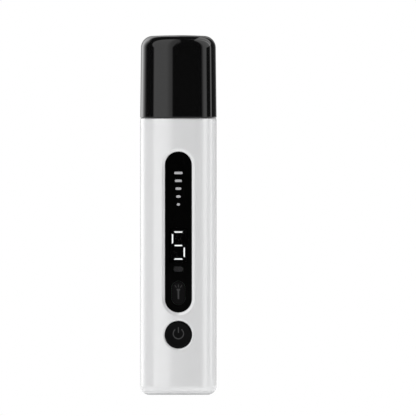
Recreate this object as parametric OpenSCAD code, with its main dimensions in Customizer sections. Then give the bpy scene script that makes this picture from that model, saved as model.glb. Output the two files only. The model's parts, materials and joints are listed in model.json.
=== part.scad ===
// Cordless pen grinder: a soft-square handle with a display and two push buttons,
// a pull-off cap over the nose, and a motor that spins a diamond drum in a collet.
// Millimetres. The origin is the centre of the base's underside, +Z runs up to the
// cap, and the display faces -Y.

/* [Handle] */
// Width and depth of the handle across its flats
handle_w = 34; // [33:0.5:36]
// Height of the handle from the base to the seam under the cap
handle_h = 123; // [123:0.5:126]
// Wall thickness of the handle tube
wall = 2; // [1.8:0.1:2.2]
// Roundness of the section: 2 is a circle, and larger numbers are squarer
section_power = 3; // [2.8:0.1:3.4]
// Radius of the round edge at the foot
foot_round = 4; // [3:0.5:5]

/* [Cap] */
// Height of the pull-off cap
cap_h = 37; // [37:0.5:42]
// Radius of the round edge at the top of the cap
cap_round = 5.3; // [4:0.1:6]
// Wall thickness of the cap
cap_wall = 1.8; // [1.6:0.1:1.9]

/* [Display] */
// Width of the display lens
lens_w = 11.9; // [11:0.1:12.4]
// Length of the display lens
lens_h = 71.6; // [70:0.1:73]
// Height of the lens centre above the base
lens_z = 72.4; // [72:0.1:73]
// Height of the digit centre above the base
digit_z = 66.4; // [65:0.1:68]

/* [Buttons] */
// Diameter of the round power button
power_d = 12.4; // [11:0.1:13]
// Height of the power button centre above the base
power_z = 26.7; // [26:0.1:27]
// Travel of the power button
power_travel = 0.4; // [0.2:0.1:0.5]
// Width of the lamp button in the lens
lamp_btn_w = 6.3; // [5.5:0.1:6.6]
// Length of the lamp button in the lens
lamp_btn_h = 10.9; // [9:0.1:11.5]
// Height of the lamp button centre above the base
lamp_btn_z = 45.3; // [45:0.1:46]
// Travel of the lamp button
lamp_travel = 0.3; // [0.2:0.1:0.3]

/* [Drive] */
// Diameter of the motor can
motor_d = 24.4; // [23.6:0.1:24.6]
// Diameter of the grinding bit's shank
shank_d = 2.35; // [2.2:0.05:2.4]
// Diameter of the diamond drum
drum_d = 9.2; // [6:0.1:10]

/* [Battery] */
// Diameter of the battery cell
cell_d = 18.3; // [17.8:0.1:18.5]
// Length of the battery cell
cell_h = 65; // [64:0.5:65]

/* [Hidden] */
$fn = 64;

// Overlap that keeps cuts and joined solids clean
eps = 0.1;

// Section of the handle, from the outside in
half_w = handle_w / 2;
inner_half = half_w - wall;
frame_half = inner_half - 0.3;
frame_wall = 1.4;
section_sides = 72;

// Foot: the base cover meets the tube at a fine parting line
parting_z = 1.6;
parting_gap = 0.15;
floor_t = 2.2;
skirt_top = 6;
skirt_half = inner_half - 0.1;
edge_break = 0.3;

// Cap and the neck that it slides over
total_h = handle_h + cap_h;
seam_gap = 0.15;
cap_draft = 0.35;
crown = 0.3;
cap_inner_half = half_w - cap_wall;
neck_half = cap_inner_half - 0.6;
neck_h = 8;
neck_wall = 1.5;
neck_top = handle_h + neck_h;
grip_ring_z = handle_h + 4;
grip_ring_h = 1.4;

// Motor, measured back from its front face inside the handle
motor_r = motor_d / 2;
motor_front = handle_h - 4.2;
can_wall = 0.8;
can_rear = motor_front - 29;
shaft_r = 1.15;
running_gap = 0.03;
// Thin bond between the magnets and the can
glue_line = 0.05;
// Laminated rotor: its length, hub, pole necks and shoes
core_bottom = can_rear + 7.5;
core_top = motor_front - 6;
hub_r = 3.2;
neck_half_w = 1.4;
shoe_x = 6.4;
rotor_r = 8.3;
bulkhead_t = 2.2;
bulkhead_top = motor_front + bulkhead_t;
plug_half = inner_half - 0.2;
plug_bottom = motor_front - 7.8;
motor_screw_x = 8.9;
damper_z = can_rear + 2.4;
damper_h = 5;
damper_r = motor_r + 1;

// Spindle stack, upwards from the motor
chuck_bottom = motor_front + 3.2;
chuck_shoulder = chuck_bottom + 12;
chuck_top = chuck_bottom + 17.5;
chuck_r = 4.5;
thread_r = 3.6;
collet_r = 2.4;
collet_bottom = chuck_bottom + 9.2;
nut_r = 5.2;
nut_bottom = chuck_bottom + 15;
nut_top = nut_bottom + 8.2;
shaft_top = chuck_bottom + 6;
shank_bottom = shaft_top + 1;
drum_bottom = nut_top + 1.3;
drum_top = drum_bottom + 10.3;
shank_r = shank_d / 2;
drum_r = drum_d / 2;
snout_top = neck_top + 5.5;
snout_bore_r = 5.6;

// Lamp ring round the snout
lamp_x = 10.7;
window_r = 1.9;
lamp_board_z = neck_top - 4.1;
lamp_board_t = 1;
channel_xy = 9.6;

// Front stack, from the lens back to the board
lens_front = -half_w + 0.8;
lens_t = 1;
lens_back = lens_front + lens_t;
gasket_t = 0.15;
ledge_front = lens_back + gasket_t;
ledge_back = ledge_front + 1.15;
bevel_w = 1.3;
window_w = 8.9;
window_h = lens_h - 3;
board_front = -11.8;
board_t = 1.2;
board_back = board_front + board_t;
board_w = 22;
board_bottom = 16;
board_top = 86;
board_hole_x = 9.7;
board_hole_ends = [19, 83];

// Battery behind the board
cell_y = 3.5;
cell_bottom = 18;
cell_top = cell_bottom + cell_h;
tab_t = 0.3;
cradle_heights = [33, 49, 65];

// Charging socket in the base
usb_w = 8.94;
usb_t = 3.26;
usb_h = 7.35;
usb_z = 0.4;
usb_wall = 0.3;
usb_board_y = usb_t / 2;
base_screw_x = 9.6;
base_screw_y = 6;

// Digit: thickness of a segment and the pitch between segment centre lines
segment_t = 1;
segment_gap = 0.16;
digit_w = 5.2;
half_digit = 6;

// Hand-laid routes of the wires inside the handle
battery_red_route = [
    [6, 3.5, 84], [9, 0.5, 84], [11.4, -3, 83.6], [10.6, -5.4, 81.5], [6.6, -6.8, 79.5],
    [5.6, -9, 78.6], [5.6, -10.5, 78.6]
];
battery_black_route = [
    [-6, 3.5, 17.1], [-9, 0.5, 17.1], [-11.2, -3, 17.8], [-10.4, -5.4, 20], [-6.6, -6.8, 22],
    [-5.6, -9, 23], [-5.6, -10.5, 23]
];
motor_red_route = [
    [8, 0, 86.6], [8.6, -3, 86.2], [7.4, -6.4, 85.6], [5, -8.6, 84], [3.4, -9.6, 82.6],
    [3.4, -10.5, 82]
];
motor_black_route = [
    [-8, 0, 86.6], [-8.6, -3, 86.2], [-7.4, -6.4, 85.6], [-5, -8.6, 84], [-3.4, -9.6, 82.6],
    [-3.4, -10.5, 82]
];
lamp_route = [
    [8.4, -12.4, 85.4], [8.8, -12.2, 88], [10.2, -10.8, 92], [10.4, -10.4, 97],
    [10.4, -10.4, 104], [9.6, -9.6, 109], [9.6, -9.6, 116], [9.6, -9.6, 122.4],
    [8.8, -8.4, 125], [8.4, -7, 126.8]
];
charge_route = [
    [4, 3.2, 11], [4.4, 4.6, 13], [5.4, 1.2, 14.2], [6.4, -4.6, 14.2], [6.6, -9, 15.6],
    [6.6, -10.2, 18]
];
lead_r = 0.6;

// ---- Helpers ----

// Distance from the axis to the soft-square section at one angle
function section_r(half, angle) =
    half / pow(pow(abs(cos(angle)), section_power) + pow(abs(sin(angle)), section_power), 1 / section_power);

// Depth of the front of the section at one distance from the middle
function front_y(half, x) =
    -half * pow(1 - pow(min(abs(x) / half, 1), section_power), 1 / section_power);

function section_points(half) = [
    for (i = [0:section_sides - 1])
        let (angle = 360 * i / section_sides)
        section_r(half, angle) * [cos(angle), sin(angle)]
];

module section(half) {
    polygon(section_points(half));
}

// Side faces between rings of equal count, and the two flat ends
function ring_faces(rings, sides) = concat(
    [[for (i = [0:sides - 1]) i]],
    [
        for (k = [0:rings - 2], i = [0:sides - 1])
            [k * sides + i, (k + 1) * sides + i, (k + 1) * sides + (i + 1) % sides]
    ],
    [
        for (k = [0:rings - 2], i = [0:sides - 1])
            [k * sides + i, (k + 1) * sides + (i + 1) % sides, k * sides + (i + 1) % sides]
    ],
    [[for (i = [sides - 1:-1:0]) (rings - 1) * sides + i]]
);

// Solid skin through soft-square rings, each given as [height, half width]
module skin(rings) {
    points = [
        for (ring = rings, p = section_points(ring[1]))
            [p[0], p[1], ring[0]]
    ];
    polyhedron(points, ring_faces(len(rings), section_sides));
}

// Quarter-round steps [height, half width] from a vertical wall to a flat end
function round_over(z_end, half, radius, way, steps = 6) = [
    for (i = [0:steps])
        let (angle = 90 * i / steps)
        [z_end - way * radius * (1 - sin(angle)), half - radius * (1 - cos(angle))]
];

function reversed(list) = [for (i = [len(list) - 1:-1:0]) list[i]];

// Tube of round section round a straight bore, from z0 to z1
module tube(outer_r, inner_r, z0, z1) {
    translate([0, 0, z0])
        difference() {
            cylinder(h = z1 - z0, r = outer_r);
            translate([0, 0, -eps])
                cylinder(h = z1 - z0 + 2 * eps, r = inner_r);
        }
}

module rod(r, z0, z1) {
    translate([0, 0, z0])
        cylinder(h = z1 - z0, r = r);
}

// Prism of the soft-square section, from z0 to z1
module section_block(half, z0, z1) {
    translate([0, 0, z0])
        linear_extrude(z1 - z0)
            section(half);
}

// Flat shape drawn in X and Z, made a plate from one depth back to another
module plate(y_front, y_back) {
    translate([0, y_back, 0])
        rotate([90, 0, 0])
            linear_extrude(y_back - y_front)
                children();
}

// Stadium: a slot with round ends, long in its second direction
module stadium(w, h) {
    square([w, h - w], center = true);
    for (side = [-1, 1])
        translate([0, side * (h - w) / 2])
            circle(d = w);
}

// Block given by its centre in X and Z and its depths
module box_at(x, z, w, h, y_front, y_back) {
    translate([x - w / 2, y_front, z - h / 2])
        cube([w, y_back - y_front, h]);
}

// Round bar along Y
module bar_y(x, z, r, y_front, y_back) {
    translate([x, y_back, z])
        rotate([90, 0, 0])
            cylinder(h = y_back - y_front, r = r);
}

// Points of a stadium outline grown by a margin
function stadium_points(w, h, margin, count) = [
    for (i = [0:count - 1])
        let (
            angle = 360 * (i + 0.5) / count,
            r = w / 2 + margin,
            end = sign(sin(angle)) * (h - w) / 2
        )
        [r * cos(angle), end + r * sin(angle)]
];

// Wire of round section swept along its route
function direction(route, i) =
    let (d = route[min(i + 1, len(route) - 1)] - route[max(i - 1, 0)])
    d / norm(d);

module wire(route, r) {
    sides = 8;
    guide = [0.31, 0.17, 0.05];
    points = [
        for (i = [0:len(route) - 1])
            let (
                d = direction(route, i),
                u = cross(d, guide) / norm(cross(d, guide)),
                v = cross(d, u)
            )
            for (k = [0:sides - 1])
                route[i] + r * (cos(360 * k / sides) * u + sin(360 * k / sides) * v)
    ];
    polyhedron(points, ring_faces(len(route), sides));
}

function flipped_x(route) = [for (p = route) [-p[0], p[1], p[2]]];

// ---- Casing ----

module cap() {
    top_half = half_w - cap_draft;
    ceiling = total_h - cap_wall;
    inner_round = cap_round - 1.2;
    color("black")
        difference() {
            skin(concat(
                [
                    [handle_h + seam_gap, half_w - edge_break],
                    [handle_h + seam_gap + edge_break, half_w]
                ],
                round_over(total_h - crown, top_half, cap_round, 1),
                [[total_h - crown / 4, half_w / 2], [total_h, half_w / 6]]
            ));
            skin(concat(
                [[handle_h - 1, cap_inner_half]],
                round_over(ceiling, cap_inner_half, inner_round, 1)
            ));
        }
}

module body_shell() {
    foot = reversed(round_over(0, half_w, foot_round, -1, 8));
    outline = concat(
        foot,
        [[handle_h - edge_break, half_w], [handle_h, half_w - edge_break]]
    );
    color("white")
        difference() {
            union() {
                difference() {
                    skin(outline);
                    section_block(inner_half, -1, handle_h + 1);
                }
                intersection() {
                    section_block(inner_half + eps, parting_z, handle_h - 1);
                    union() {
                        translate([0, 0, lens_z])
                            plate(-half_w, ledge_back)
                                stadium(lens_w + 2.6, lens_h + 2.6);
                        bar_y(0, power_z, power_d / 2 + 2, -half_w, -half_w + 3.1);
                    }
                }
            }
            translate([0, 0, -1])
                linear_extrude(parting_z + 1)
                    square(2 * handle_w, center = true);
            lens_recess();
            translate([0, 0, lens_z])
                plate(-half_w - 1, ledge_back + 1)
                    stadium(window_w, window_h);
            bar_y(0, power_z, power_d / 2 + 0.25, -half_w - 1, -half_w + 5);
        }
}

// Pocket for the lens, with a bevel that blends out to the curved front
module lens_recess() {
    count = 64;
    fit = 0.1;
    inner = stadium_points(lens_w, lens_h, fit, count);
    outer = stadium_points(lens_w, lens_h, bevel_w, count);
    points = concat(
        [for (p = inner) [p[0], ledge_front, p[1] + lens_z]],
        [for (p = inner) [p[0], lens_front, p[1] + lens_z]],
        [for (p = outer) [p[0], front_y(half_w, p[0]), p[1] + lens_z]],
        [for (p = outer) [p[0], -half_w - 1, p[1] + lens_z]]
    );
    polyhedron(points, ring_faces(4, count));
}

module base_cover() {
    foot = reversed(round_over(0, half_w, foot_round, -1, 8));
    color("white")
        difference() {
            union() {
                intersection() {
                    skin(concat(foot, [[foot_round + 2, half_w]]));
                    section_block(half_w, -1, parting_z - parting_gap);
                }
                section_block(skirt_half, parting_z - 0.6, skirt_top);
            }
            section_block(skirt_half - 1.5, floor_t, skirt_top + 1);
            translate([0, 0, -1])
                linear_extrude(floor_t + 2)
                    rotate(90)
                        stadium(usb_t + 0.5, usb_w + 0.5);
            for (side = [-1, 1])
                translate([side * base_screw_x, base_screw_y, 0]) {
                    rod(1.1, -1, floor_t + 1);
                    rod(2.1, -1, 1);
                }
        }
}

module base_screws() {
    color("silver")
        for (side = [-1, 1])
            translate([side * base_screw_x, base_screw_y, 0])
                difference() {
                    union() {
                        rod(1.95, 0.3, 1);
                        rod(0.95, 1, 9);
                    }
                    linear_extrude(0.75)
                        square([0.5, 2.4], center = true);
                    linear_extrude(0.75)
                        square([2.4, 0.5], center = true);
                }
}

module nose_housing() {
    color("white")
        difference() {
            union() {
                section_block(plug_half, plug_bottom, handle_h);
                section_block(neck_half, handle_h - 1, neck_top);
                translate([0, 0, neck_top - eps])
                    rotate_extrude()
                        polygon([
                            [0, 0], [9, 0], [7.4, snout_top - neck_top - 0.6],
                            [6.8, snout_top - neck_top + eps], [0, snout_top - neck_top + eps]
                        ]);
            }
            rod(motor_r + 0.05, plug_bottom - 1, motor_front);
            difference() {
                section_block(neck_half - neck_wall, bulkhead_top, neck_top - 1.6);
                rod(snout_bore_r + 1.2, bulkhead_top - 1, neck_top);
                for (side = [-1, 1])
                    translate([0, side * 10.4, 0])
                        rod(1.2, bulkhead_top - 1, lamp_board_z);
            }
            rod(snout_bore_r, bulkhead_top, snout_top + 1);
            rod(3.6, motor_front - 1, bulkhead_top + 1);
            for (side = [-1, 1]) {
                translate([side * motor_screw_x, 0, 0])
                    rod(1.05, motor_front - 1, bulkhead_top + 1);
                translate([side * lamp_x, 0, 0])
                    rod(window_r, neck_top - 2, neck_top + 1);
                translate([side * channel_xy, -channel_xy, 0])
                    rod(0.9, plug_bottom - 1, bulkhead_top + 1);
            }
            difference() {
                section_block(neck_half + 1, grip_ring_z - grip_ring_h / 2, grip_ring_z + grip_ring_h / 2);
                section_block(neck_half - 0.6, grip_ring_z - 2, grip_ring_z + 2);
            }
        }
}

module cap_grip_ring() {
    color("dimgray")
        difference() {
            section_block(neck_half + 0.35, grip_ring_z - grip_ring_h / 2, grip_ring_z + grip_ring_h / 2);
            section_block(neck_half - 0.6, grip_ring_z - 2, grip_ring_z + 2);
        }
}

// ---- Work lamp ----

module lamp_windows() {
    color("aliceblue")
        for (side = [-1, 1])
            translate([side * lamp_x, 0, 0])
                rod(window_r, lamp_board_z + lamp_board_t + 1.2, neck_top + 0.2);
}

module lamp_board() {
    color("darkgreen")
        difference() {
            section_block(neck_half - neck_wall - 0.2, lamp_board_z, lamp_board_z + lamp_board_t);
            rod(snout_bore_r + 1.4, lamp_board_z - 1, lamp_board_z + 2);
        }
}

module lamp_leds() {
    color("gold")
        for (side = [-1, 1])
            translate([side * lamp_x - 1.5, -1.5, lamp_board_z + lamp_board_t])
                cube([3, 3, 1]);
}

// ---- Chassis ----

module inner_frame() {
    frame_bottom = skirt_top + 0.2;
    frame_top = damper_z + damper_h + 1;
    cell_shelf = 1.2;
    color("gainsboro")
        difference() {
            union() {
                difference() {
                    section_block(frame_half, frame_bottom, frame_top);
                    section_block(frame_half - frame_wall, frame_bottom - 1, frame_top + 1);
                }
                for (z = [cell_bottom - 1.5 - cell_shelf, cell_top + 1.6])
                    section_block(frame_half - eps, z, z + cell_shelf);
                for (z = cradle_heights)
                    cell_cradle(z);
                difference() {
                    section_block(frame_half - eps, damper_z, damper_z + damper_h);
                    rod(damper_r, damper_z - 1, damper_z + damper_h + 1);
                }
                for (side = [-1, 1]) {
                    translate([side * 10.1 - 1.9, board_back, board_bottom - 1])
                        cube([3.8, 3.6, board_top - board_bottom + 1]);
                    translate([side * base_screw_x, base_screw_y, 0])
                        rod(2.4, floor_t + 0.2, cell_bottom - 2);
                }
            }
            translate([-half_w, -half_w - 1, 0])
                cube([handle_w, half_w + 1 + board_back, handle_h]);
            translate([-half_w, -half_w - 1, board_top + 0.5])
                cube([handle_w, half_w - 7.5, handle_h]);
            for (side = [-1, 1]) {
                translate([side * base_screw_x, base_screw_y, 0])
                    rod(0.95, floor_t - 1, 12);
                for (z = board_hole_ends)
                    bar_y(side * board_hole_x, z, 0.8, board_back - 1, board_back + 3);
            }
            lead_notches();
        }
}

// Rib that holds the cell from behind, open towards the board
module cell_cradle(z) {
    difference() {
        section_block(frame_half - eps, z, z + 1.6);
        translate([0, cell_y, 0])
            rod(cell_d / 2 + 0.1, z - 1, z + 3);
        translate([-half_w, -handle_w, z - 1])
            cube([handle_w, handle_w, 4]);
    }
}

// Gaps in the end shelves that the leads pass through
module lead_notches() {
    translate([-10.6, -half_w, cell_bottom - 4])
        cube([21.2, 22, 4]);
    translate([-10.4, -half_w, cell_top - 0.5])
        cube([20.8, 24, 4]);
}

module board_screws() {
    color("silver")
        for (side = [-1, 1], z = board_hole_ends) {
            bar_y(side * board_hole_x, z, 1.2, board_front - 0.9, board_front);
            bar_y(side * board_hole_x, z, 0.8, board_front, board_back + 2.8);
        }
}

// ---- Motor ----

module motor_can() {
    color("silver")
        difference() {
            union() {
                rod(motor_r, can_rear, motor_front);
                rod(3.5, motor_front - 1, motor_front + 1.8);
            }
            rod(motor_r - can_wall, can_rear - 1, motor_front - can_wall);
            rod(2.5, motor_front - 2, motor_front + 1.6);
            rod(1.5, motor_front, motor_front + 3);
            for (side = [-1, 1])
                translate([side * motor_screw_x, 0, 0])
                    rod(0.95, motor_front - 2, motor_front + 1);
        }
}

module motor_end_cap() {
    color("ivory")
        difference() {
            union() {
                rod(motor_r - can_wall, can_rear - 2, can_rear + 1.5);
                rod(motor_r - 0.2, can_rear - 2, can_rear - 0.001);
                rod(4, can_rear - 2.8, can_rear);
            }
            rod(2.5, can_rear - 2.4, can_rear + 2);
            rod(4.2, can_rear, can_rear + 2);
            for (side = [-1, 1]) {
                box_at(side * 8, can_rear, 0.6, 8, -1.5, 1.5);
                box_at(side * 4.6, can_rear + 1.2, 3.2, 2.4, -1.5, 1.5);
            }
        }
}

module motor_terminals() {
    color("gold")
        for (side = [-1, 1])
            box_at(side * 8, can_rear - 0.6, 0.6, 6, -1.5, 1.5);
}

module motor_magnets() {
    color("dimgray")
        for (side = [-1, 1])
            intersection() {
                tube(motor_r - can_wall - glue_line, 9, can_rear + 5, motor_front - 3.8);
                translate([side * 10, 0, can_rear + 17])
                    cube([9, 17, 40], center = true);
            }
}

module motor_brushes() {
    color("black")
        for (side = [-1, 1])
            difference() {
                box_at(side * 4.6, can_rear + 1.7, 3.2, 3.4, -1.5, 1.5);
                rod(3 + running_gap, can_rear - 1, can_rear + 5);
            }
}

module motor_shaft() {
    color("silver")
        rod(shaft_r, can_rear - 2.3, shaft_top);
}

module rotor_core() {
    color("silver")
        difference() {
            translate([0, 0, core_bottom])
                linear_extrude(core_top - core_bottom)
                    polygon([for (k = [0:2], p = rotor_pole()) turned(p, 120 * k)]);
            rod(shaft_r, core_bottom - 1, core_top + 1);
        }
}

function turned(p, angle) = [
    p[0] * cos(angle) - p[1] * sin(angle),
    p[0] * sin(angle) + p[1] * cos(angle)
];

// Outline of one T-shaped pole, from the hub round its curved shoe and back
function rotor_pole() = concat(
    [turned([hub_r, 0], -48), turned([hub_r, 0], -34), [hub_r, -neck_half_w], [shoe_x, -neck_half_w]],
    [turned([shoe_x + 0.2, 0], -46)],
    [for (i = [-4:4]) turned([rotor_r, 0], 11.5 * i)],
    [turned([shoe_x + 0.2, 0], 46)],
    [[shoe_x, neck_half_w], [hub_r, neck_half_w], turned([hub_r, 0], 34), turned([hub_r, 0], 48)]
);

module rotor_windings() {
    coil_t = 1;
    coil_in = hub_r + 0.5;
    coil_out = shoe_x - 0.65;
    stack_h = core_top - core_bottom;
    color("chocolate")
        for (k = [0:2])
            rotate(120 * k)
                translate([(coil_in + coil_out) / 2, 0, core_bottom + stack_h / 2])
                    difference() {
                        cube([coil_out - coil_in, 2 * (neck_half_w + coil_t), stack_h + 2 * coil_t], center = true);
                        cube([coil_out, 2 * neck_half_w, stack_h], center = true);
                    }
}

module commutator() {
    color("peru")
        difference() {
            union() {
                rod(3, can_rear + 0.2, can_rear + 5);
                rod(3.8, can_rear + 5, can_rear + 5.8);
            }
            rod(shaft_r, can_rear - 1, can_rear + 7);
            for (k = [0:2])
                rotate(60 + 120 * k)
                    translate([2.4, -0.15, can_rear])
                        cube([1, 0.3, 5]);
        }
}

module front_bearing() {
    color("goldenrod")
        tube(2.5, shaft_r + running_gap, motor_front - can_wall, motor_front + 1.6);
}

module rear_bearing() {
    color("goldenrod")
        tube(2.5, shaft_r + running_gap, can_rear - 2.4, can_rear);
}

module motor_damper() {
    color("dimgray")
        tube(damper_r, motor_r, damper_z, damper_z + damper_h);
}

module motor_screws() {
    color("silver")
        for (side = [-1, 1])
            translate([side * motor_screw_x, 0, 0]) {
                rod(0.95, motor_front - 2.2, bulkhead_top);
                difference() {
                    rod(1.8, bulkhead_top, bulkhead_top + 1.2);
                    box_at(0, bulkhead_top + 1, 0.5, 0.8, -1.3, 1.3);
                    box_at(0, bulkhead_top + 1, 2.6, 0.8, -0.25, 0.25);
                }
            }
}

// ---- Spindle and bit ----

module chuck() {
    color("silver")
        difference() {
            union() {
                rod(chuck_r, chuck_bottom, chuck_shoulder);
                rod(thread_r, chuck_shoulder, chuck_top);
            }
            rod(shaft_r, chuck_bottom - 1, shaft_top);
            rod(shank_r, shaft_top, chuck_top);
            rod(collet_r, collet_bottom, chuck_top + 1);
            for (side = [-1, 1])
                translate([side * chuck_r - 0.5, -3, chuck_bottom + 8])
                    cube([1, 6, 3]);
        }
}

module collet() {
    cone_top = nut_top - 1.6;
    color("gray")
        difference() {
            translate([0, 0, collet_bottom])
                rotate_extrude()
                    polygon([
                        [shank_r, 0], [collet_r, 0], [collet_r, chuck_top - collet_bottom + 1],
                        [1.9, cone_top - collet_bottom], [shank_r, cone_top - collet_bottom]
                    ]);
            for (k = [0:2])
                rotate(120 * k)
                    translate([shank_r - 0.3, -0.2, collet_bottom + 3])
                        cube([2, 0.4, 20]);
        }
}

module collet_nut() {
    ridges = 20;
    cone_bottom = chuck_top + 1 - nut_bottom;
    cone_top = nut_top - 1.6 - nut_bottom;
    height = nut_top - nut_bottom;
    color("silver")
        translate([0, 0, nut_bottom])
            difference() {
                rotate_extrude()
                    polygon([
                        [thread_r, 0], [nut_r - 0.3, 0], [nut_r, 0.3], [nut_r, height - 2.4],
                        [3.4, height], [1.6, height], [1.6, cone_top], [1.95, cone_top],
                        [collet_r + 0.05, cone_bottom], [thread_r, cone_bottom]
                    ]);
                for (k = [0:ridges - 1])
                    rotate(360 * k / ridges)
                        translate([nut_r + 0.15, 0, 0.8])
                            cylinder(h = height - 4, r = 0.4, $fn = 16);
            }
}

module bit_shank() {
    color("silver")
        rod(shank_r, shank_bottom, drum_top - 3);
}

module bit_drum() {
    height = drum_top - drum_bottom;
    color("darkgray")
        translate([0, 0, drum_bottom])
            rotate_extrude()
                polygon([
                    [shank_r, 0], [drum_r - 0.6, 0], [drum_r, 0.6], [drum_r, height - 1],
                    [drum_r - 0.3, height - 0.3], [drum_r - 1, height], [0, height],
                    [0, height - 3], [shank_r, height - 3]
                ]);
}

// ---- Power ----

module battery_cell() {
    color("mediumseagreen")
        translate([0, cell_y, 0]) {
            rod(cell_d / 2, cell_bottom, cell_top - 0.8);
            rod(2.8, cell_top - 0.9, cell_top);
        }
}

module battery_insulator() {
    color("white")
        translate([0, cell_y, 0])
            tube(cell_d / 2 - 0.3, 2.9, cell_top - 0.8, cell_top - 0.4);
}

module battery_tabs() {
    color("silver") {
        translate([-2.5, cell_y - 2.5, cell_top])
            cube([10, 5, tab_t]);
        translate([-7.5, cell_y - 2.5, cell_bottom - tab_t])
            cube([10, 5, tab_t]);
    }
}

module battery_pads() {
    color("darkslategray")
        translate([0, cell_y, 0]) {
            difference() {
                rod(6.5, cell_top + tab_t, cell_top + 1.6);
                translate([3.5, -8, cell_top])
                    cube([4, 16, 3]);
            }
            difference() {
                rod(6.5, cell_bottom - 1.5, cell_bottom - tab_t);
                translate([-7.5, -8, cell_bottom - 3])
                    cube([4, 16, 3]);
            }
        }
}

module usb_socket() {
    color("silver")
        difference() {
            translate([0, 0, usb_z])
                linear_extrude(usb_h)
                    rotate(90)
                        stadium(usb_t, usb_w);
            translate([0, 0, usb_z - 1])
                linear_extrude(usb_h)
                    rotate(90)
                        stadium(usb_t - 2 * usb_wall, usb_w - 2 * usb_wall);
        }
}

module usb_tongue() {
    color("black")
        translate([-3.35, -0.35, usb_z + 0.8])
            cube([6.7, 0.7, usb_h - 1.8]);
}

module charge_board() {
    color("darkgreen")
        translate([-7, usb_board_y, floor_t + 0.1])
            cube([14, 1, 11]);
}

// ---- Main board, display and buttons ----

module main_board() {
    color("darkgreen")
        difference() {
            box_at(0, (board_bottom + board_top) / 2, board_w, board_top - board_bottom, board_front, board_back);
            for (side = [-1, 1], z = board_hole_ends)
                bar_y(side * board_hole_x, z, 0.8, board_front - 1, board_back + 1);
        }
}

module board_chips() {
    color("black") {
        box_at(0, 52, 7, 7, board_back, board_back + 1);
        box_at(-5.6, 62, 5, 6, board_back, board_back + 1.2);
        box_at(5.6, 62, 4, 5, board_back, board_back + 1.2);
        box_at(0, 30, 5, 5, board_back, board_back + 1);
        box_at(5, 36, 4.6, 4.6, board_back, board_back + 1.8);
        for (k = [0:4])
            box_at(-6 + 3 * k, 43.5, 1, 2, board_back, board_back + 0.6);
        for (k = [0:3])
            box_at(8.4, 50 + 4 * k, 1.2, 2, board_front - 0.6, board_front);
        translate([-3, usb_board_y + 1, 5])
            cube([3, 0.9, 3]);
    }
}

module segment(length) {
    half = length / 2 - segment_gap;
    shoulder = segment_t / 2;
    polygon([
        [-half, 0], [-half + shoulder, shoulder], [half - shoulder, shoulder],
        [half, 0], [half - shoulder, -shoulder], [-half + shoulder, -shoulder]
    ]);
}

// One named bar of the digit: its height step, its side, and whether it stands up
module digit_bar(side, step, upright) {
    translate([side * digit_w / 2, step * half_digit])
        rotate(upright ? 90 : 0)
            segment(upright ? half_digit : digit_w);
}

// The bars that make the figure five
module figure_bars() {
    for (step = [-1, 0, 1])
        digit_bar(0, step, false);
    digit_bar(-1, 0.5, true);
    digit_bar(1, -0.5, true);
}

module unused_bars() {
    digit_bar(1, 0.5, true);
    digit_bar(-1, -0.5, true);
}

module digit_housing() {
    color("black")
        difference() {
            box_at(0, digit_z, 8.2, 15.4, lens_back + 0.2, board_front);
            translate([0, 0, digit_z])
                plate(lens_back, lens_back + 1)
                    figure_bars();
            translate([0, 0, digit_z])
                plate(lens_back, lens_back + 1)
                    unused_bars();
        }
}

module lit_segments() {
    color("white")
        translate([0, 0, digit_z])
            plate(lens_back + 0.1, lens_back + 1)
                figure_bars();
}

module dark_segments() {
    color("dimgray")
        translate([0, 0, digit_z])
            plate(lens_back + 0.1, lens_back + 1)
                unused_bars();
}

module display_lens() {
    color("black")
        difference() {
            translate([0, 0, lens_z])
                plate(lens_front, lens_back)
                    stadium(lens_w, lens_h);
            translate([0, 0, lamp_btn_z])
                plate(lens_front - 1, lens_back + 1)
                    stadium(lamp_btn_w + 0.4, lamp_btn_h + 0.4);
        }
}

module lens_gasket() {
    color("dimgray")
        difference() {
            translate([0, 0, lens_z])
                plate(lens_back, ledge_front)
                    stadium(lens_w - 0.4, lens_h - 0.4);
            translate([0, 0, lens_z])
                plate(lens_back - 1, ledge_front + 1)
                    stadium(window_w, window_h);
        }
}

// Printed scale of five speed steps on the lens
module level_marks() {
    steps = 5;
    pitch = 3.5;
    ink_t = 0.03;
    color("lightgray")
        for (k = [0:steps - 1])
            box_at(0, lens_z + 12.3 + pitch * k, 1.4 + 0.6 * k, 1.1, lens_front - ink_t, lens_front);
}

module status_light() {
    color("gray")
        translate([0, 0, digit_z - 10.5])
            plate(lens_back + 0.1, board_front - 0.8)
                rotate(90)
                    stadium(2.5, 4.7);
}

module status_led() {
    color("ivory")
        box_at(0, digit_z - 10.5, 3, 1.5, board_front - 0.8, board_front);
}

module lamp_button() {
    flange_front = lens_back + 0.15;
    color("black")
        translate([0, 0, lamp_btn_z]) {
            plate(lens_front - 0.05, flange_front + 0.3)
                stadium(lamp_btn_w, lamp_btn_h);
            plate(flange_front, flange_front + 0.6)
                stadium(lamp_btn_w + 1.6, lamp_btn_h + 1.6);
            bar_y(0, 0, 1.5, flange_front + 0.5, board_front - 2.2);
        }
}

module power_button() {
    flange_front = -half_w + 3.25;
    face = -half_w + 0.1;
    post_end = board_front - 2.2;
    color("black")
        difference() {
            union() {
                bar_y(0, power_z, power_d / 2, face, flange_front + 0.7);
                bar_y(0, power_z, power_d / 2 + 1.1, flange_front, flange_front + 0.7);
            }
            difference() {
                bar_y(0, power_z, power_d / 2 - 1.2, face + 1.2, flange_front + 2);
                bar_y(0, power_z, 1.5, face, post_end);
            }
        }
}

// Switch body with a bore for its plunger
module switch_body(z, w) {
    difference() {
        box_at(0, z, w, w, board_front - 1.5, board_front);
        bar_y(0, z, 0.95, board_front - 2, board_front - 0.3);
    }
}

module lamp_switch() {
    color("silver")
        switch_body(lamp_btn_z, 4.2);
}

module lamp_plunger() {
    color("white")
        bar_y(0, lamp_btn_z, 0.85, board_front - 2.2, board_front - 0.8);
}

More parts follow.
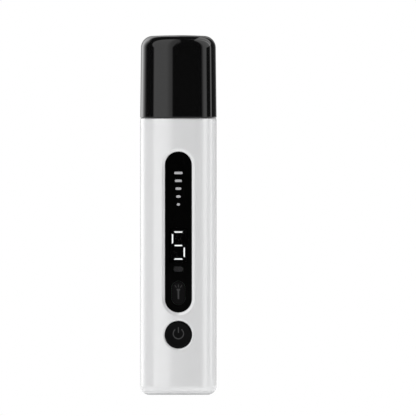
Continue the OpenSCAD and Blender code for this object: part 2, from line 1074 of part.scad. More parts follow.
module power_switch() {
    color("silver")
        switch_body(power_z, 5);
}

module power_plunger() {
    color("white")
        bar_y(0, power_z, 0.85, board_front - 2.2, board_front - 0.8);
}

// ---- Wires ----

module battery_lead_red() {
    color("red")
        wire(battery_red_route, lead_r);
}

module battery_lead_black() {
    color("black")
        wire(battery_black_route, lead_r);
}

module motor_lead_red() {
    color("red")
        wire(motor_red_route, lead_r);
}

module motor_lead_black() {
    color("black")
        wire(motor_black_route, lead_r);
}

module lamp_leads() {
    color("white") {
        wire(lamp_route, lead_r);
        wire(flipped_x(lamp_route), lead_r);
    }
}

module charge_leads() {
    color("orange") {
        wire(charge_route, lead_r);
        wire(flipped_x(charge_route), lead_r);
    }
}

cap();
body_shell();
base_cover();
base_screws();
nose_housing();
cap_grip_ring();
lamp_windows();
lamp_board();
lamp_leds();
inner_frame();
board_screws();
motor_can();
motor_end_cap();
motor_terminals();
motor_magnets();
motor_brushes();
motor_shaft();
rotor_core();
rotor_windings();
commutator();
front_bearing();
rear_bearing();
motor_damper();
motor_screws();
chuck();
collet();
collet_nut();
bit_shank();
bit_drum();
battery_cell();
battery_insulator();
battery_tabs();
battery_pads();
main_board();
board_chips();
digit_housing();
lit_segments();
dark_segments();
display_lens();
lens_gasket();
level_marks();
status_light();
status_led();
lamp_button();
lamp_switch();
lamp_plunger();
power_button();
power_switch();
power_plunger();
usb_socket();
usb_tongue();
charge_board();
battery_lead_red();
battery_lead_black();
motor_lead_red();
motor_lead_black();
lamp_leads();
charge_leads();
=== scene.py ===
# %% [markdown]
# # A cordless pen grinder, dressed in Blender
# The CAD model already holds every piece at its true size and place. This script keeps that frame, swaps
# the faceted outer skins for smooth ones, and gives each piece the finish of the plastic, metal or rubber
# it is made from. Lengths are in metres, +Z runs up to the cap, and the display faces -Y.

# %% Load the frame
import json
import math

import bmesh
import bpy
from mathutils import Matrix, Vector, noise


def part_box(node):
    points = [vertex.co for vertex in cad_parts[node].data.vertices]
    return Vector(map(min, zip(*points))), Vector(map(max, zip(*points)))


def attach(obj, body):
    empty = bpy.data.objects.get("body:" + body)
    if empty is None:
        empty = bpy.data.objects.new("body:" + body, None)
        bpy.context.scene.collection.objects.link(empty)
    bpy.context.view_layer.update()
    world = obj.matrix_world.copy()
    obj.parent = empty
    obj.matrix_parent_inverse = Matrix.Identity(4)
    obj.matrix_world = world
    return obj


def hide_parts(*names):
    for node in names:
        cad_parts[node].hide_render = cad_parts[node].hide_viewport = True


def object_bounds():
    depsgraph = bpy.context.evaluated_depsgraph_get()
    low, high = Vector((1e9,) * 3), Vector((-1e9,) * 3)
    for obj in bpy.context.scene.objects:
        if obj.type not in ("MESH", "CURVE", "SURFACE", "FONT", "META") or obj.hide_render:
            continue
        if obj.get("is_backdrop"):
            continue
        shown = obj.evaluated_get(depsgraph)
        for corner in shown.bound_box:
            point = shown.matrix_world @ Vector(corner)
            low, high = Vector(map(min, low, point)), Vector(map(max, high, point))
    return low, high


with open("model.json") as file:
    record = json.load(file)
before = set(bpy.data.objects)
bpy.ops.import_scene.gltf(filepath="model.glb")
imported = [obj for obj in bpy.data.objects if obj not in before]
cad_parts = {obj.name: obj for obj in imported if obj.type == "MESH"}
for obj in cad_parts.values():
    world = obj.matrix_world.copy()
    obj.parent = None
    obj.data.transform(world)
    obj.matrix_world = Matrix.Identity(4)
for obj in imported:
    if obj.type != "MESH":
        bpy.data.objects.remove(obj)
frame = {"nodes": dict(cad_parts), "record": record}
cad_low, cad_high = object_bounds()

MM = 0.001
record = frame["record"]
slot_of_node = {row["node"]: row["material_slot"] for row in record["subparts"]}

# %% [markdown]
# ## The section of the handle
# The handle is neither round nor square. Its section is a superellipse, a soft square whose four faces
# bulge a little. A formula gives that outline at any size, so the tube, the cap, the foot and the neck
# under the cap all share it, and each skin is a stack of such rings.

# %% Section of the handle
AROUND = 192
SECTION_POWER = 3
half_width = (cad_high.x - cad_low.x) / 2


def section_ring(half, z):
    """Points of the soft-square outline, from the middle of the front round to the right."""
    ring = []
    for step in range(AROUND):
        angle = math.tau * step / AROUND
        spread = abs(math.sin(angle)) ** SECTION_POWER + abs(math.cos(angle)) ** SECTION_POWER
        radius = half / spread ** (1 / SECTION_POWER)
        ring.append(Vector((radius * math.sin(angle), -radius * math.cos(angle), z)))
    return ring


def round_ring(radius, z):
    """The same number of points, on a circle."""
    turns = [math.tau * step / AROUND for step in range(AROUND)]
    return [Vector((radius * math.sin(a), -radius * math.cos(a), z)) for a in turns]


def section_rings(pairs):
    """A ring of the outline for each (height, half width) pair."""
    return [section_ring(half, z) for z, half in pairs]


def front_depth(half, x):
    """How far forward the front of the section lies at a distance from its middle."""
    share = min(abs(x) / half, 1)
    return -half * (1 - share ** SECTION_POWER) ** (1 / SECTION_POWER)


print("half width of the handle", round(half_width / MM, 2), "mm")

# %% [markdown]
# ## Mesh helpers
# A skin grows ring by ring, so a few small helpers are enough: one adds a ring of points, one joins two
# rings with four-sided faces, and one turns the finished work into an object. Faces stay smooth across
# gentle bends and break at edges sharper than a chosen angle, as a moulding does.

# %% Mesh helpers
SHARP_EDGE = math.radians(24)
SHARP_STAMPED = math.radians(8)
SHARP_TUBE = math.radians(30)
SHARP_NUT = math.radians(35)
SHARP_TURNED = math.radians(40)
SHARP_CAP = math.radians(50)


def add_ring(work, points):
    return [work.verts.new(p) for p in points]


def join_rings(work, first, second):
    count = len(first)
    for i in range(count):
        j = (i + 1) % count
        work.faces.new((first[i], first[j], second[j], second[i]))


def finish_mesh(work, name, sharp=SHARP_EDGE):
    """Closes the bmesh into a smooth-shaded object with outward faces."""
    bmesh.ops.recalc_face_normals(work, faces=work.faces)
    mesh = bpy.data.meshes.new(name)
    work.to_mesh(mesh)
    work.free()
    mesh.shade_smooth()
    mesh.set_sharp_from_angle(angle=sharp)
    piece = bpy.data.objects.new(name, mesh)
    bpy.context.scene.collection.objects.link(piece)
    return piece


def skin(name, rings, ends="closed", sharp=SHARP_EDGE):
    """Joins rings in order. Ends are closed with a face each, or joined to each other as a loop."""
    work = bmesh.new()
    rows = [add_ring(work, ring) for ring in rings]
    for low, high in zip(rows, rows[1:]):
        join_rings(work, low, high)
    if ends == "loop":
        join_rings(work, rows[-1], rows[0])
    else:
        work.faces.new(rows[0])
        work.faces.new(rows[-1])
    return finish_mesh(work, name, sharp)


print("skins break at edges sharper than", round(math.degrees(SHARP_EDGE)), "degrees")


# %% Rounding helpers
def curve_between(start, corner, end, steps):
    """Rows of points that round off a corner, row by row from start to end."""
    rows = []
    for step in range(steps + 1):
        t = step / steps
        row = [a * (1 - t) ** 2 + c * 2 * t * (1 - t) + b * t ** 2 for a, c, b in zip(start, corner, end)]
        rows.append(row)
    return rows


def round_over(edge_z, half, radius, side, steps=14, last=90):
    """(height, half width) pairs of a quarter round that starts on the wall and ends flat at edge_z."""
    pairs = []
    for step in range(steps + 1):
        turn = math.radians(last * step / steps)
        pairs.append((edge_z - side * radius * (1 - math.sin(turn)), half - radius * (1 - math.cos(turn))))
    return pairs


def quarter_turn(steps):
    """Sine and cosine at each step through a quarter turn, without its start."""
    turns = [math.radians(90 * step / steps) for step in range(1, steps + 1)]
    return [(math.sin(turn), math.cos(turn)) for turn in turns]


print("a quarter turn in two steps:", [(round(up, 2), round(out, 2)) for up, out in quarter_turn(2)])


# %% Cutting and shading helpers
def apply_modifiers(piece):
    """Makes what the modifiers show into the piece's own mesh."""
    bpy.context.view_layer.update()
    graph = bpy.context.evaluated_depsgraph_get()
    shown = piece.evaluated_get(graph)
    piece.data = bpy.data.meshes.new_from_object(shown, preserve_all_data_layers=True, depsgraph=graph)
    piece.modifiers.clear()


def cut(piece, tools):
    """Cuts the tool meshes out of a piece and removes them."""
    for tool in tools:
        work = piece.modifiers.new("cut", "BOOLEAN")
        work.operation = "DIFFERENCE"
        work.solver = "EXACT"
        work.object = tool
    apply_modifiers(piece)
    piece.data.set_sharp_from_angle(angle=SHARP_EDGE)
    for tool in tools:
        bpy.data.objects.remove(tool)


def even_shading(piece):
    """Keeps broad faces even: each corner takes its direction mostly from its largest face."""
    weights = piece.modifiers.new("even shading", "WEIGHTED_NORMAL")
    weights.keep_sharp = True
    apply_modifiers(piece)


print("cutting and shading helpers ready")

# %% [markdown]
# ## Turned and stamped shapes
# Chuck, nut, drum and button are turned, so one helper sweeps a profile round an axis. Lens, marks and
# symbols are cut from sheet, so a filled curve with a small bevel makes them: it rounds every edge, the
# holes too.

# %% Turned shapes
def turned(name, profile, sides=96, centre=(0, 0, 0), facing="up", sharp=SHARP_EDGE, shape=None):
    """Sweeps (radius, height) pairs round Z, or round Y with the height measured towards the viewer."""
    work = bmesh.new()
    rows = []
    for radius, height in profile:
        row = []
        for step in range(sides):
            angle = math.tau * step / sides
            r = shape(radius, angle, height) if shape else radius
            if facing == "up":
                point = Vector((r * math.sin(angle), -r * math.cos(angle), height))
            else:
                point = Vector((r * math.sin(angle), -height, r * math.cos(angle)))
            row.append(work.verts.new(point + Vector(centre)))
        rows.append(row)
    for low, high in zip(rows, rows[1:]):
        join_rings(work, low, high)
    work.faces.new(rows[0])
    work.faces.new(rows[-1])
    return finish_mesh(work, name, sharp)


print("turned helper ready")


# %% Outlines for stamped shapes
def stadium_outline(width, height, centre=(0, 0), count=48):
    """Outline of a slot with round ends, standing up, or lying down if it is wider than high."""
    radius = min(width, height) / 2
    half_x, half_z = width / 2 - radius, height / 2 - radius
    points = []
    for step in range(count):
        angle = math.tau * (step + 0.5) / count
        x = math.copysign(half_x, math.cos(angle)) + radius * math.cos(angle)
        z = math.copysign(half_z, math.sin(angle)) + radius * math.sin(angle)
        points.append((x + centre[0], z + centre[1]))
    return points


def arc_band(radius, line, start, end, centre, count=40):
    """Outline of a curved line with round ends. Angles run clockwise from the top, in degrees."""
    points = []
    for side, order in ((1, 1), (-1, -1)):
        for step in range(count + 1)[::order]:
            angle = math.radians(start + (end - start) * step / count)
            r = radius + side * line / 2
            points.append((centre[0] + r * math.sin(angle), centre[1] + r * math.cos(angle)))
    return points


print("a stadium outline has", len(stadium_outline(1, 2)), "points")

# %% Stamped shapes
WELD = 0.002 * MM


def stamped(name, outlines, front, back, edge=0.0, steps=3):
    """Plate cut to closed (x, z) outlines, from its front face back, with edges rounded by edge."""
    drawing = bpy.data.curves.new(name, "CURVE")
    drawing.dimensions = "2D"
    drawing.fill_mode = "BOTH"
    drawing.extrude = (back - front) / 2 - edge
    drawing.bevel_depth = edge
    drawing.bevel_resolution = steps
    drawing.offset = -edge
    for outline in outlines:
        spline = drawing.splines.new("POLY")
        spline.points.add(len(outline) - 1)
        for point, (x, z) in zip(spline.points, outline):
            point.co = (x, z, 0, 1)
        spline.use_cyclic_u = True
    holder = bpy.data.objects.new(name + "_drawing", drawing)
    mesh = bpy.data.meshes.new_from_object(holder)
    bpy.data.objects.remove(holder)
    middle = (front + back) / 2
    for vertex in mesh.vertices:
        x, z, out = vertex.co
        vertex.co = (x, middle - out, z)
    work = bmesh.new()
    work.from_mesh(mesh)
    bmesh.ops.remove_doubles(work, verts=work.verts, dist=WELD)
    return finish_mesh(work, name, SHARP_STAMPED)


print("stamped helper ready, points weld within", WELD / MM, "mm")

# %% [markdown]
# ## Shared surface effects
# Real finishes are never even. Moulded plastic has a faint grain and slow colour drift, handled parts carry
# hairlines, turned steel has fine rings, and sheet steel has a rolled grain. Each effect is a node group,
# built once, that gives out only colours, values and heights. Every material then sets its own numbers on
# it.

# %% Node helpers
def feed(tree, socket, value):
    """Links a socket to another, or sets its number."""
    if isinstance(value, bpy.types.NodeSocket):
        tree.links.new(value, socket)
    else:
        socket.default_value = value


def calc(tree, operation, *values):
    node = tree.nodes.new("ShaderNodeMath")
    node.operation = operation
    for socket, value in zip(node.inputs, values):
        feed(tree, socket, value)
    return node.outputs[0]


def product(tree, *values):
    """All the values multiplied together."""
    result = values[0]
    for value in values[1:]:
        result = calc(tree, "MULTIPLY", result, value)
    return result


def ramp(tree, value, low, high, out_low=0.0, out_high=1.0, smooth=True):
    """Maps a value from one range to another, held at the ends."""
    node = tree.nodes.new("ShaderNodeMapRange")
    node.interpolation_type = "SMOOTHSTEP" if smooth else "LINEAR"
    for socket, number in zip(node.inputs, (value, low, high, out_low, out_high)):
        feed(tree, socket, number)
    return node.outputs[0]


def blend_colours(tree, factor, first, second):
    node = tree.nodes.new("ShaderNodeMix")
    node.data_type = "RGBA"
    feed(tree, node.inputs["Factor"], factor)
    feed(tree, node.inputs[6], first)
    feed(tree, node.inputs[7], second)
    return node.outputs[2]


def noise_at(tree, place, scale, detail=3.0, rough=0.5):
    node = tree.nodes.new("ShaderNodeTexNoise")
    feed(tree, node.inputs["Vector"], place)
    feed(tree, node.inputs["Scale"], scale)
    node.inputs["Detail"].default_value = detail
    node.inputs["Roughness"].default_value = rough
    return node.outputs["Fac"]


def cells_at(tree, place, scale, output="Distance"):
    node = tree.nodes.new("ShaderNodeTexVoronoi")
    feed(tree, node.inputs["Vector"], place)
    feed(tree, node.inputs["Scale"], scale)
    return node.outputs[output]


print("node helpers ready")


# %% Place and group helpers
def object_place(tree):
    """The point on the object."""
    return tree.nodes.new("ShaderNodeTexCoord").outputs["Object"]


def split(tree, place):
    """X, Y and Z of a place, as separate numbers."""
    parts = tree.nodes.new("ShaderNodeSeparateXYZ")
    feed(tree, parts.inputs[0], place)
    return list(parts.outputs)


def join(tree, *values):
    """A place made from its X, Y and Z."""
    joined = tree.nodes.new("ShaderNodeCombineXYZ")
    for socket, value in zip(joined.inputs, values):
        feed(tree, socket, value)
    return joined.outputs[0]


def new_group(name, inputs, outputs):
    """Empty node group with named sockets. Inputs are (label, default), colours have four numbers."""
    group = bpy.data.node_groups.new(name, "ShaderNodeTree")
    for label, default in inputs:
        kind = "NodeSocketColor" if isinstance(default, tuple) else "NodeSocketFloat"
        socket = group.interface.new_socket(label, in_out="INPUT", socket_type=kind)
        socket.default_value = default
    for label in outputs:
        kind = "NodeSocketColor" if label == "Colour" else "NodeSocketFloat"
        group.interface.new_socket(label, in_out="OUTPUT", socket_type=kind)
    return group, group.nodes.new("NodeGroupInput"), group.nodes.new("NodeGroupOutput")


def give(tree, leave, **results):
    """Sends results to a group's outputs."""
    for label, value in results.items():
        feed(tree, leave.inputs[label], value)


def per_millimetre(tree, size):
    """Texture scale for a pattern of that size in millimetres."""
    return calc(tree, "DIVIDE", 1 / MM, size)


def drifted_colour(tree, given, drift):
    """The group's colour, made lighter and darker by a value that drifts round zero."""
    tinted = tree.nodes.new("ShaderNodeVectorMath")
    tinted.operation = "SCALE"
    feed(tree, tinted.inputs["Vector"], given["Colour"])
    feed(tree, tinted.inputs["Scale"], calc(tree, "MULTIPLY_ADD", drift, given["Shade Drift"], 1.0))
    return tinted.outputs[0]


print("group helpers ready")

# %% [markdown]
# ### Moulded grain
# Injection moulding leaves a very fine orange-peel surface and a slow drift in shade where the plastic
# flowed. Two noises at different sizes give both, and the slow one also drifts the roughness.

# %% Moulded grain group
WHITE = (1.0, 1.0, 1.0, 1.0)

moulded_grain, entry, leave = new_group(
    "moulded_grain",
    [("Colour", WHITE), ("Shade Drift", 0.03), ("Grain Size", 0.5), ("Drift Size", 14.0),
     ("Roughness", 0.3), ("Roughness Drift", 0.04)],
    ["Colour", "Roughness", "Height"],
)
place = object_place(moulded_grain)
given = entry.outputs
fine = noise_at(moulded_grain, place, per_millimetre(moulded_grain, given["Grain Size"]), 4.0)
slow = noise_at(moulded_grain, place, per_millimetre(moulded_grain, given["Drift Size"]), 2.0)
drift = calc(moulded_grain, "SUBTRACT", slow, 0.5)
both = calc(moulded_grain, "ADD", drift, calc(moulded_grain, "SUBTRACT", fine, 0.5))
rough = calc(moulded_grain, "MULTIPLY_ADD", both, given["Roughness Drift"], given["Roughness"])
tone = drifted_colour(moulded_grain, given, drift)
give(moulded_grain, leave, Colour=tone, Roughness=rough, Height=fine)
print("group", moulded_grain.name)

# %% [markdown]
# ### Hairlines
# A part that is pulled off and pushed on every day picks up faint straight scratches. Noise stretched hard
# along one way and cut off near its top leaves thin broken lines, which is cheaper and more even than
# drawing them.

# %% Hairline group
hairlines, entry, leave = new_group(
    "hairlines", [("Amount", 0.5), ("Spacing", 0.4), ("Length", 12.0)], ["Mask", "Height"]
)
HAIRLINE_LEAN = 0.16
x, y, z = split(hairlines, object_place(hairlines))
across = per_millimetre(hairlines, entry.outputs["Spacing"])
along = per_millimetre(hairlines, entry.outputs["Length"])
leaned = calc(hairlines, "MULTIPLY_ADD", z, HAIRLINE_LEAN, x)
stretched = join(hairlines, product(hairlines, leaned, across), product(hairlines, y, across),
                 product(hairlines, z, along))
lines = noise_at(hairlines, stretched, 1.0, 2.0, 0.7)
mask = product(hairlines, ramp(hairlines, lines, 0.63, 0.72), entry.outputs["Amount"])
give(hairlines, leave, Mask=mask, Height=product(hairlines, mask, -1.0))
print("group", hairlines.name)

# %% [markdown]
# ### Turned rings and rolled sheet
# A lathe tool leaves rings that differ along the axis, so noise is read mostly along Z. Rolled or drawn
# sheet has a grain that is long one way, so the same group takes a second, lengthwise size.

# %% Metal grain group
metal_grain, entry, leave = new_group(
    "metal_grain",
    [("Colour", WHITE), ("Shade Drift", 0.12), ("Step", 0.08), ("Length", 4.0),
     ("Roughness", 0.3), ("Roughness Drift", 0.12)],
    ["Colour", "Roughness", "Height"],
)
STAIN_SIZE = 3 * MM
given = entry.outputs
x, y, z = split(metal_grain, object_place(metal_grain))
wide = per_millimetre(metal_grain, given["Length"])
narrow = per_millimetre(metal_grain, given["Step"])
stretched = join(metal_grain, product(metal_grain, x, wide), product(metal_grain, y, wide),
                 product(metal_grain, z, narrow))
rings = noise_at(metal_grain, stretched, 1.0, 3.0, 0.6)
stains = noise_at(metal_grain, object_place(metal_grain), 1 / STAIN_SIZE, 3.0)
drift = calc(metal_grain, "SUBTRACT", calc(metal_grain, "MULTIPLY_ADD", stains, 0.6, rings), 0.8)
rough = calc(metal_grain, "MULTIPLY_ADD", drift, given["Roughness Drift"], given["Roughness"])
rough = calc(metal_grain, "MAXIMUM", rough, 0.05)
tone = drifted_colour(metal_grain, given, drift)
give(metal_grain, leave, Colour=tone, Roughness=rough, Height=rings)
print("group", metal_grain.name)

# %% [markdown]
# ### Worn edges
# Rims and corners lose their finish first. The geometry's pointiness finds the outward edges of a dense
# mesh, and noise breaks the line up, so that the wear isn't an even stripe.

# %% Worn edge group
worn_edges, entry, leave = new_group("worn_edges", [("Amount", 0.5), ("Patch Size", 0.8)], ["Mask"])
geometry = worn_edges.nodes.new("ShaderNodeNewGeometry")
outward = ramp(worn_edges, geometry.outputs["Pointiness"], 0.52, 0.60)
patch_scale = per_millimetre(worn_edges, entry.outputs["Patch Size"])
patchy = noise_at(worn_edges, object_place(worn_edges), patch_scale, 4.0)
patches = ramp(worn_edges, patchy, 0.42, 0.62)
give(worn_edges, leave, Mask=product(worn_edges, outward, patches, entry.outputs["Amount"]))
print("group", worn_edges.name)

# %% [markdown]
# ## Materials
# Each finish is a Principled shader. Numbers that are even all over are set on the shader itself, and what
# varies comes from the groups. The first maker covers plastics and rubber, the second covers metals.

# %% Material helpers
def place_group(tree, group, **numbers):
    node = tree.nodes.new("ShaderNodeGroup")
    node.node_tree = group
    for label, value in numbers.items():
        node.inputs[label.replace("_", " ")].default_value = value
    return node


def bare_material(name, **even):
    """New material. The keyword values are set on the shader's own sockets."""
    material = bpy.data.materials.new(name)
    material.use_nodes = True
    tree = material.node_tree
    shader = tree.nodes["Principled BSDF"]
    for label, value in even.items():
        shader.inputs[label.replace("_", " ")].default_value = value
    return material, tree, shader


def add_bump(tree, shader, height, depth, strength=1.0, below=None):
    """Bump of a true depth in millimetres, on top of another if one is given."""
    bump = tree.nodes.new("ShaderNodeBump")
    bump.inputs["Strength"].default_value = strength
    bump.inputs["Distance"].default_value = depth * MM
    feed(tree, bump.inputs["Height"], height)
    if below:
        feed(tree, bump.inputs["Normal"], below)
    feed(tree, shader.inputs["Normal"], bump.outputs["Normal"])
    return bump.outputs["Normal"]


def feed_shader(tree, shader, tone, rough):
    """Gives the shader its colour and roughness."""
    feed(tree, shader.inputs["Base Color"], tone)
    feed(tree, shader.inputs["Roughness"], rough)


def grain_body(tree, colour, **numbers):
    """Colour, roughness and height of the moulded grain."""
    body = place_group(tree, moulded_grain, Colour=(*colour, 1.0), **numbers)
    return body.outputs["Colour"], body.outputs["Roughness"], body.outputs["Height"]


def worn_tone(tree, tone, amount, bare):
    """The tone with a bare colour where edges are worn, and the mask of that wear."""
    mask = place_group(tree, worn_edges, Amount=amount).outputs["Mask"]
    return blend_colours(tree, mask, tone, (*bare, 1.0)), mask


print("material helpers ready")


# %% Plastic and metal makers
def plastic(name, colour, roughness, drift=0.04, grain=0.5, bump=0.002, shade=0.03, scratch=0.0,
            wear=0.0, **even):
    material, tree, shader = bare_material(name, **even)
    tone, rough, height = grain_body(tree, colour, Shade_Drift=shade, Grain_Size=grain,
                                     Roughness=roughness, Roughness_Drift=drift)
    normal = add_bump(tree, shader, height, bump)
    if scratch:
        marks = place_group(tree, hairlines, Amount=scratch)
        rough = calc(tree, "MULTIPLY_ADD", marks.outputs["Mask"], 0.25, rough)
        add_bump(tree, shader, marks.outputs["Height"], 0.002, below=normal)
    if wear:
        pale = tuple(min(1.0, 0.12 + c * 1.1) for c in colour)
        tone, mask = worn_tone(tree, tone, wear, pale)
        rough = calc(tree, "MULTIPLY_ADD", mask, 0.15, rough)
    feed_shader(tree, shader, tone, rough)
    return material


def metal(name, colour, roughness, step=0.08, length=4.0, bump=0.004, shade=0.12, drift=0.12,
          wear=0.0, **even):
    material, tree, shader = bare_material(name, Metallic=1.0, **even)
    body = place_group(tree, metal_grain, Colour=(*colour, 1.0), Shade_Drift=shade, Step=step,
                       Length=length, Roughness=roughness, Roughness_Drift=drift)
    tone = body.outputs["Colour"]
    if wear:
        bright = tuple(min(1.0, c * 1.35) for c in colour)
        tone, _ = worn_tone(tree, tone, wear, bright)
    add_bump(tree, shader, body.outputs["Height"], bump)
    feed_shader(tree, shader, tone, body.outputs["Roughness"])
    return material


print("makers ready")

# %% [markdown]
# ### Casing finishes
# The handle is a gloss white moulding, so its grain is fine and its roughness low. The cap is polished
# black: the moulded surface is nearly a mirror, and only hairlines and drift show it is plastic.

# %% Casing materials
finish = {}
finish["shell_white"] = plastic("gloss_white_shell", (0.667, 0.67, 0.675), 0.16, drift=0.03, grain=0.35,
                                bump=0.0008, shade=0.02, scratch=0.12, Specular_IOR_Level=1.0, IOR=1.92)
finish["cap_black"] = plastic("polished_black_cap", (0.0012, 0.0012, 0.0013), 0.04, drift=0.02, grain=0.6,
                              bump=0.0003, shade=0.2, scratch=0.12)
finish["nose_white"] = plastic("satin_white_nose", (0.72, 0.725, 0.73), 0.42, drift=0.08, grain=0.25,
                               bump=0.004, shade=0.04, scratch=0.3)
finish["frame_grey"] = plastic("frame_plastic", (0.42, 0.43, 0.44), 0.5, drift=0.1, grain=0.3, bump=0.008,
                               shade=0.08, wear=0.3)
finish["button_black"] = plastic("satin_black_button", (0.0009, 0.0009, 0.001), 0.3, drift=0.06, grain=0.22,
                                 bump=0.003, shade=0.25, scratch=0.2, Specular_IOR_Level=0.08)
finish["ring_rubber"] = plastic("soft_rubber", (0.022, 0.022, 0.023), 0.62, drift=0.12, grain=0.18,
                                bump=0.006, shade=0.3, Sheen_Weight=0.15)
finish["end_cap_plastic"] = plastic("end_cap_plastic", (0.62, 0.58, 0.47), 0.45, drift=0.08, bump=0.006,
                                    shade=0.08)
finish["plunger_white"] = plastic("switch_plunger", (0.7, 0.69, 0.64), 0.35, bump=0.003)
finish["tongue_black"] = plastic("socket_tongue", (0.018, 0.018, 0.018), 0.4, bump=0.004, shade=0.2)
finish["chip_black"] = plastic("chip_package", (0.02, 0.02, 0.021), 0.55, drift=0.12, grain=0.12, bump=0.008,
                               shade=0.3)
finish["display_black"] = plastic("display_housing", (0.0015, 0.0015, 0.0017), 0.5, bump=0.004, shade=0.2)
finish["segment_dark"] = plastic("unlit_guide", (0.012, 0.012, 0.013), 0.4, bump=0.003, shade=0.05)
finish["cell_wrap"] = plastic("cell_wrap", (0.03, 0.26, 0.14), 0.22, drift=0.1, grain=1.2, bump=0.02,
                              shade=0.12, wear=0.2)
finish["magnet_ferrite"] = plastic("ferrite", (0.06, 0.06, 0.065), 0.6, drift=0.15, grain=0.15, bump=0.012,
                                   shade=0.4)
finish["brush_carbon"] = plastic("carbon_brush", (0.02, 0.02, 0.02), 0.5, drift=0.2, grain=0.12, bump=0.02,
                                 shade=0.5)
finish["gasket_tape"] = plastic("foam_tape", (0.015, 0.015, 0.015), 0.8, grain=0.12, bump=0.02, shade=0.4)
for tint, colour in (("red", (0.45, 0.012, 0.01)), ("black", (0.01, 0.01, 0.01)),
                     ("white", (0.66, 0.66, 0.64)), ("orange", (0.62, 0.16, 0.015))):
    finish["wire_" + tint] = plastic(tint + "_insulation", colour, 0.38, drift=0.1, grain=0.5, bump=0.01,
                                     shade=0.12)
print(len(finish), "plastic and rubber finishes")

# %% [markdown]
# ### Metal finishes
# Turned parts get fine rings along their axis, drawn and stamped parts get a longer grain. Copper and
# bronze differ from steel only in colour and in how much they have dulled.

# %% Metal materials
finish["screw_steel"] = metal("zinc_screw", (0.52, 0.52, 0.53), 0.34, wear=0.4)
finish["can_steel"] = metal("drawn_can", (0.50, 0.50, 0.51), 0.3, step=1.6, length=0.25, wear=0.2)
finish["shaft_steel"] = metal("ground_shaft", (0.60, 0.60, 0.61), 0.2, step=0.05, drift=0.08)
finish["chuck_steel"] = metal("turned_chuck", (0.50, 0.50, 0.52), 0.28, step=0.1, wear=0.4)
finish["nut_steel"] = metal("plated_nut", (0.60, 0.60, 0.62), 0.22, step=0.12, wear=0.5)
finish["core_steel"] = metal("laminated_core", (0.32, 0.32, 0.34), 0.4, step=0.35, length=9.0, bump=0.03,
                             shade=0.5)
finish["winding_copper"] = metal("copper_winding", (0.62, 0.22, 0.08), 0.3, step=0.3, length=6.0, bump=0.06,
                                 shade=0.4)
finish["commutator_copper"] = metal("commutator_copper", (0.72, 0.34, 0.16), 0.26, step=0.06)
finish["terminal_brass"] = metal("stamped_brass", (0.68, 0.48, 0.2), 0.3, step=0.5)
finish["bearing_bronze"] = metal("sintered_bronze", (0.48, 0.31, 0.13), 0.5, step=0.12, length=0.12,
                                 bump=0.02, shade=0.5)
finish["tab_nickel"] = metal("nickel_strip", (0.62, 0.59, 0.54), 0.22, step=2.0, length=0.2)
finish["switch_metal"] = metal("switch_cover", (0.52, 0.52, 0.52), 0.3, step=0.3)
finish["socket_metal"] = metal("socket_shell", (0.55, 0.55, 0.56), 0.26, step=0.4, wear=0.3)
print("metal finishes up to", len(finish))

# %% [markdown]
# ### Board, grit and foam
# A circuit board is green lacquer over copper tracks, so a stepped pattern of straight lines shows as a
# lighter, raised green. The drum's diamond grit is a bed of tiny sharp cells in plated nickel. Foam is a
# mesh of open pores.

# %% Board, grit and foam makers
TRACK_PITCH = 2 * MM
GRIT_SIZE = 0.32 * MM
PORE_SIZE = 0.35 * MM


def board_material(name, colour, track):
    material, tree, shader = bare_material(name, Coat_Weight=0.3, Coat_Roughness=0.12)
    tone, rough, _ = grain_body(tree, colour, Shade_Drift=0.15, Grain_Size=0.3, Roughness=0.35,
                                Roughness_Drift=0.1)
    turn = tree.nodes.new("ShaderNodeMapping")
    turn.inputs["Rotation"].default_value = (math.pi / 2, 0, 0)
    feed(tree, turn.inputs["Vector"], object_place(tree))
    bricks = tree.nodes.new("ShaderNodeTexBrick")
    feed(tree, bricks.inputs["Vector"], turn.outputs["Vector"])
    bricks.inputs["Scale"].default_value = 1 / TRACK_PITCH
    bricks.inputs["Mortar Size"].default_value = 0.06
    tracks = bricks.outputs["Fac"]
    feed_shader(tree, shader, blend_colours(tree, tracks, tone, (*track, 1.0)), rough)
    add_bump(tree, shader, tracks, 0.03)
    return material


def grit_material(name):
    material, tree, shader = bare_material(name, Metallic=0.75)
    place = object_place(tree)
    cells = cells_at(tree, place, 1 / GRIT_SIZE)
    chance = tree.nodes.new("ShaderNodeSeparateColor")
    feed(tree, chance.inputs[0], cells_at(tree, place, 1 / GRIT_SIZE, "Color"))
    dark, light = (0.16, 0.155, 0.15, 1.0), (0.55, 0.54, 0.52, 1.0)
    tone = blend_colours(tree, chance.outputs[0], dark, light)
    feed_shader(tree, shader, tone, ramp(tree, chance.outputs[1], 0.0, 1.0, 0.25, 0.7))
    add_bump(tree, shader, calc(tree, "SUBTRACT", 1.0, cells), 0.12, 0.9)
    return material


def foam_material(name, colour):
    material, tree, shader = bare_material(name)
    tone, rough, _ = grain_body(tree, colour, Shade_Drift=0.5, Grain_Size=0.2, Roughness=0.85,
                                Roughness_Drift=0.1)
    feed_shader(tree, shader, tone, rough)
    add_bump(tree, shader, cells_at(tree, object_place(tree), 1 / PORE_SIZE), 0.15)
    return material


print("board, grit and foam makers ready")

# %% Board, grit and foam materials
finish["board_green"] = board_material("circuit_board", (0.012, 0.075, 0.03), (0.03, 0.17, 0.07))
finish["drum_diamond"] = grit_material("diamond_grit")
finish["pad_foam"] = foam_material("black_foam", (0.03, 0.03, 0.032))
finish["insulator_paper"] = foam_material("insulating_paper", (0.7, 0.7, 0.66))
print("finishes up to", len(finish))

# %% [markdown]
# ### Glass, light and ink
# The lens is smoked acrylic with a black print behind it. The print leaves windows over the digit and the
# status light, so the material is fully solid outside those windows and partly clear inside them. Lit bars
# glow through. The lamp windows are clear mouldings over yellow lamps.

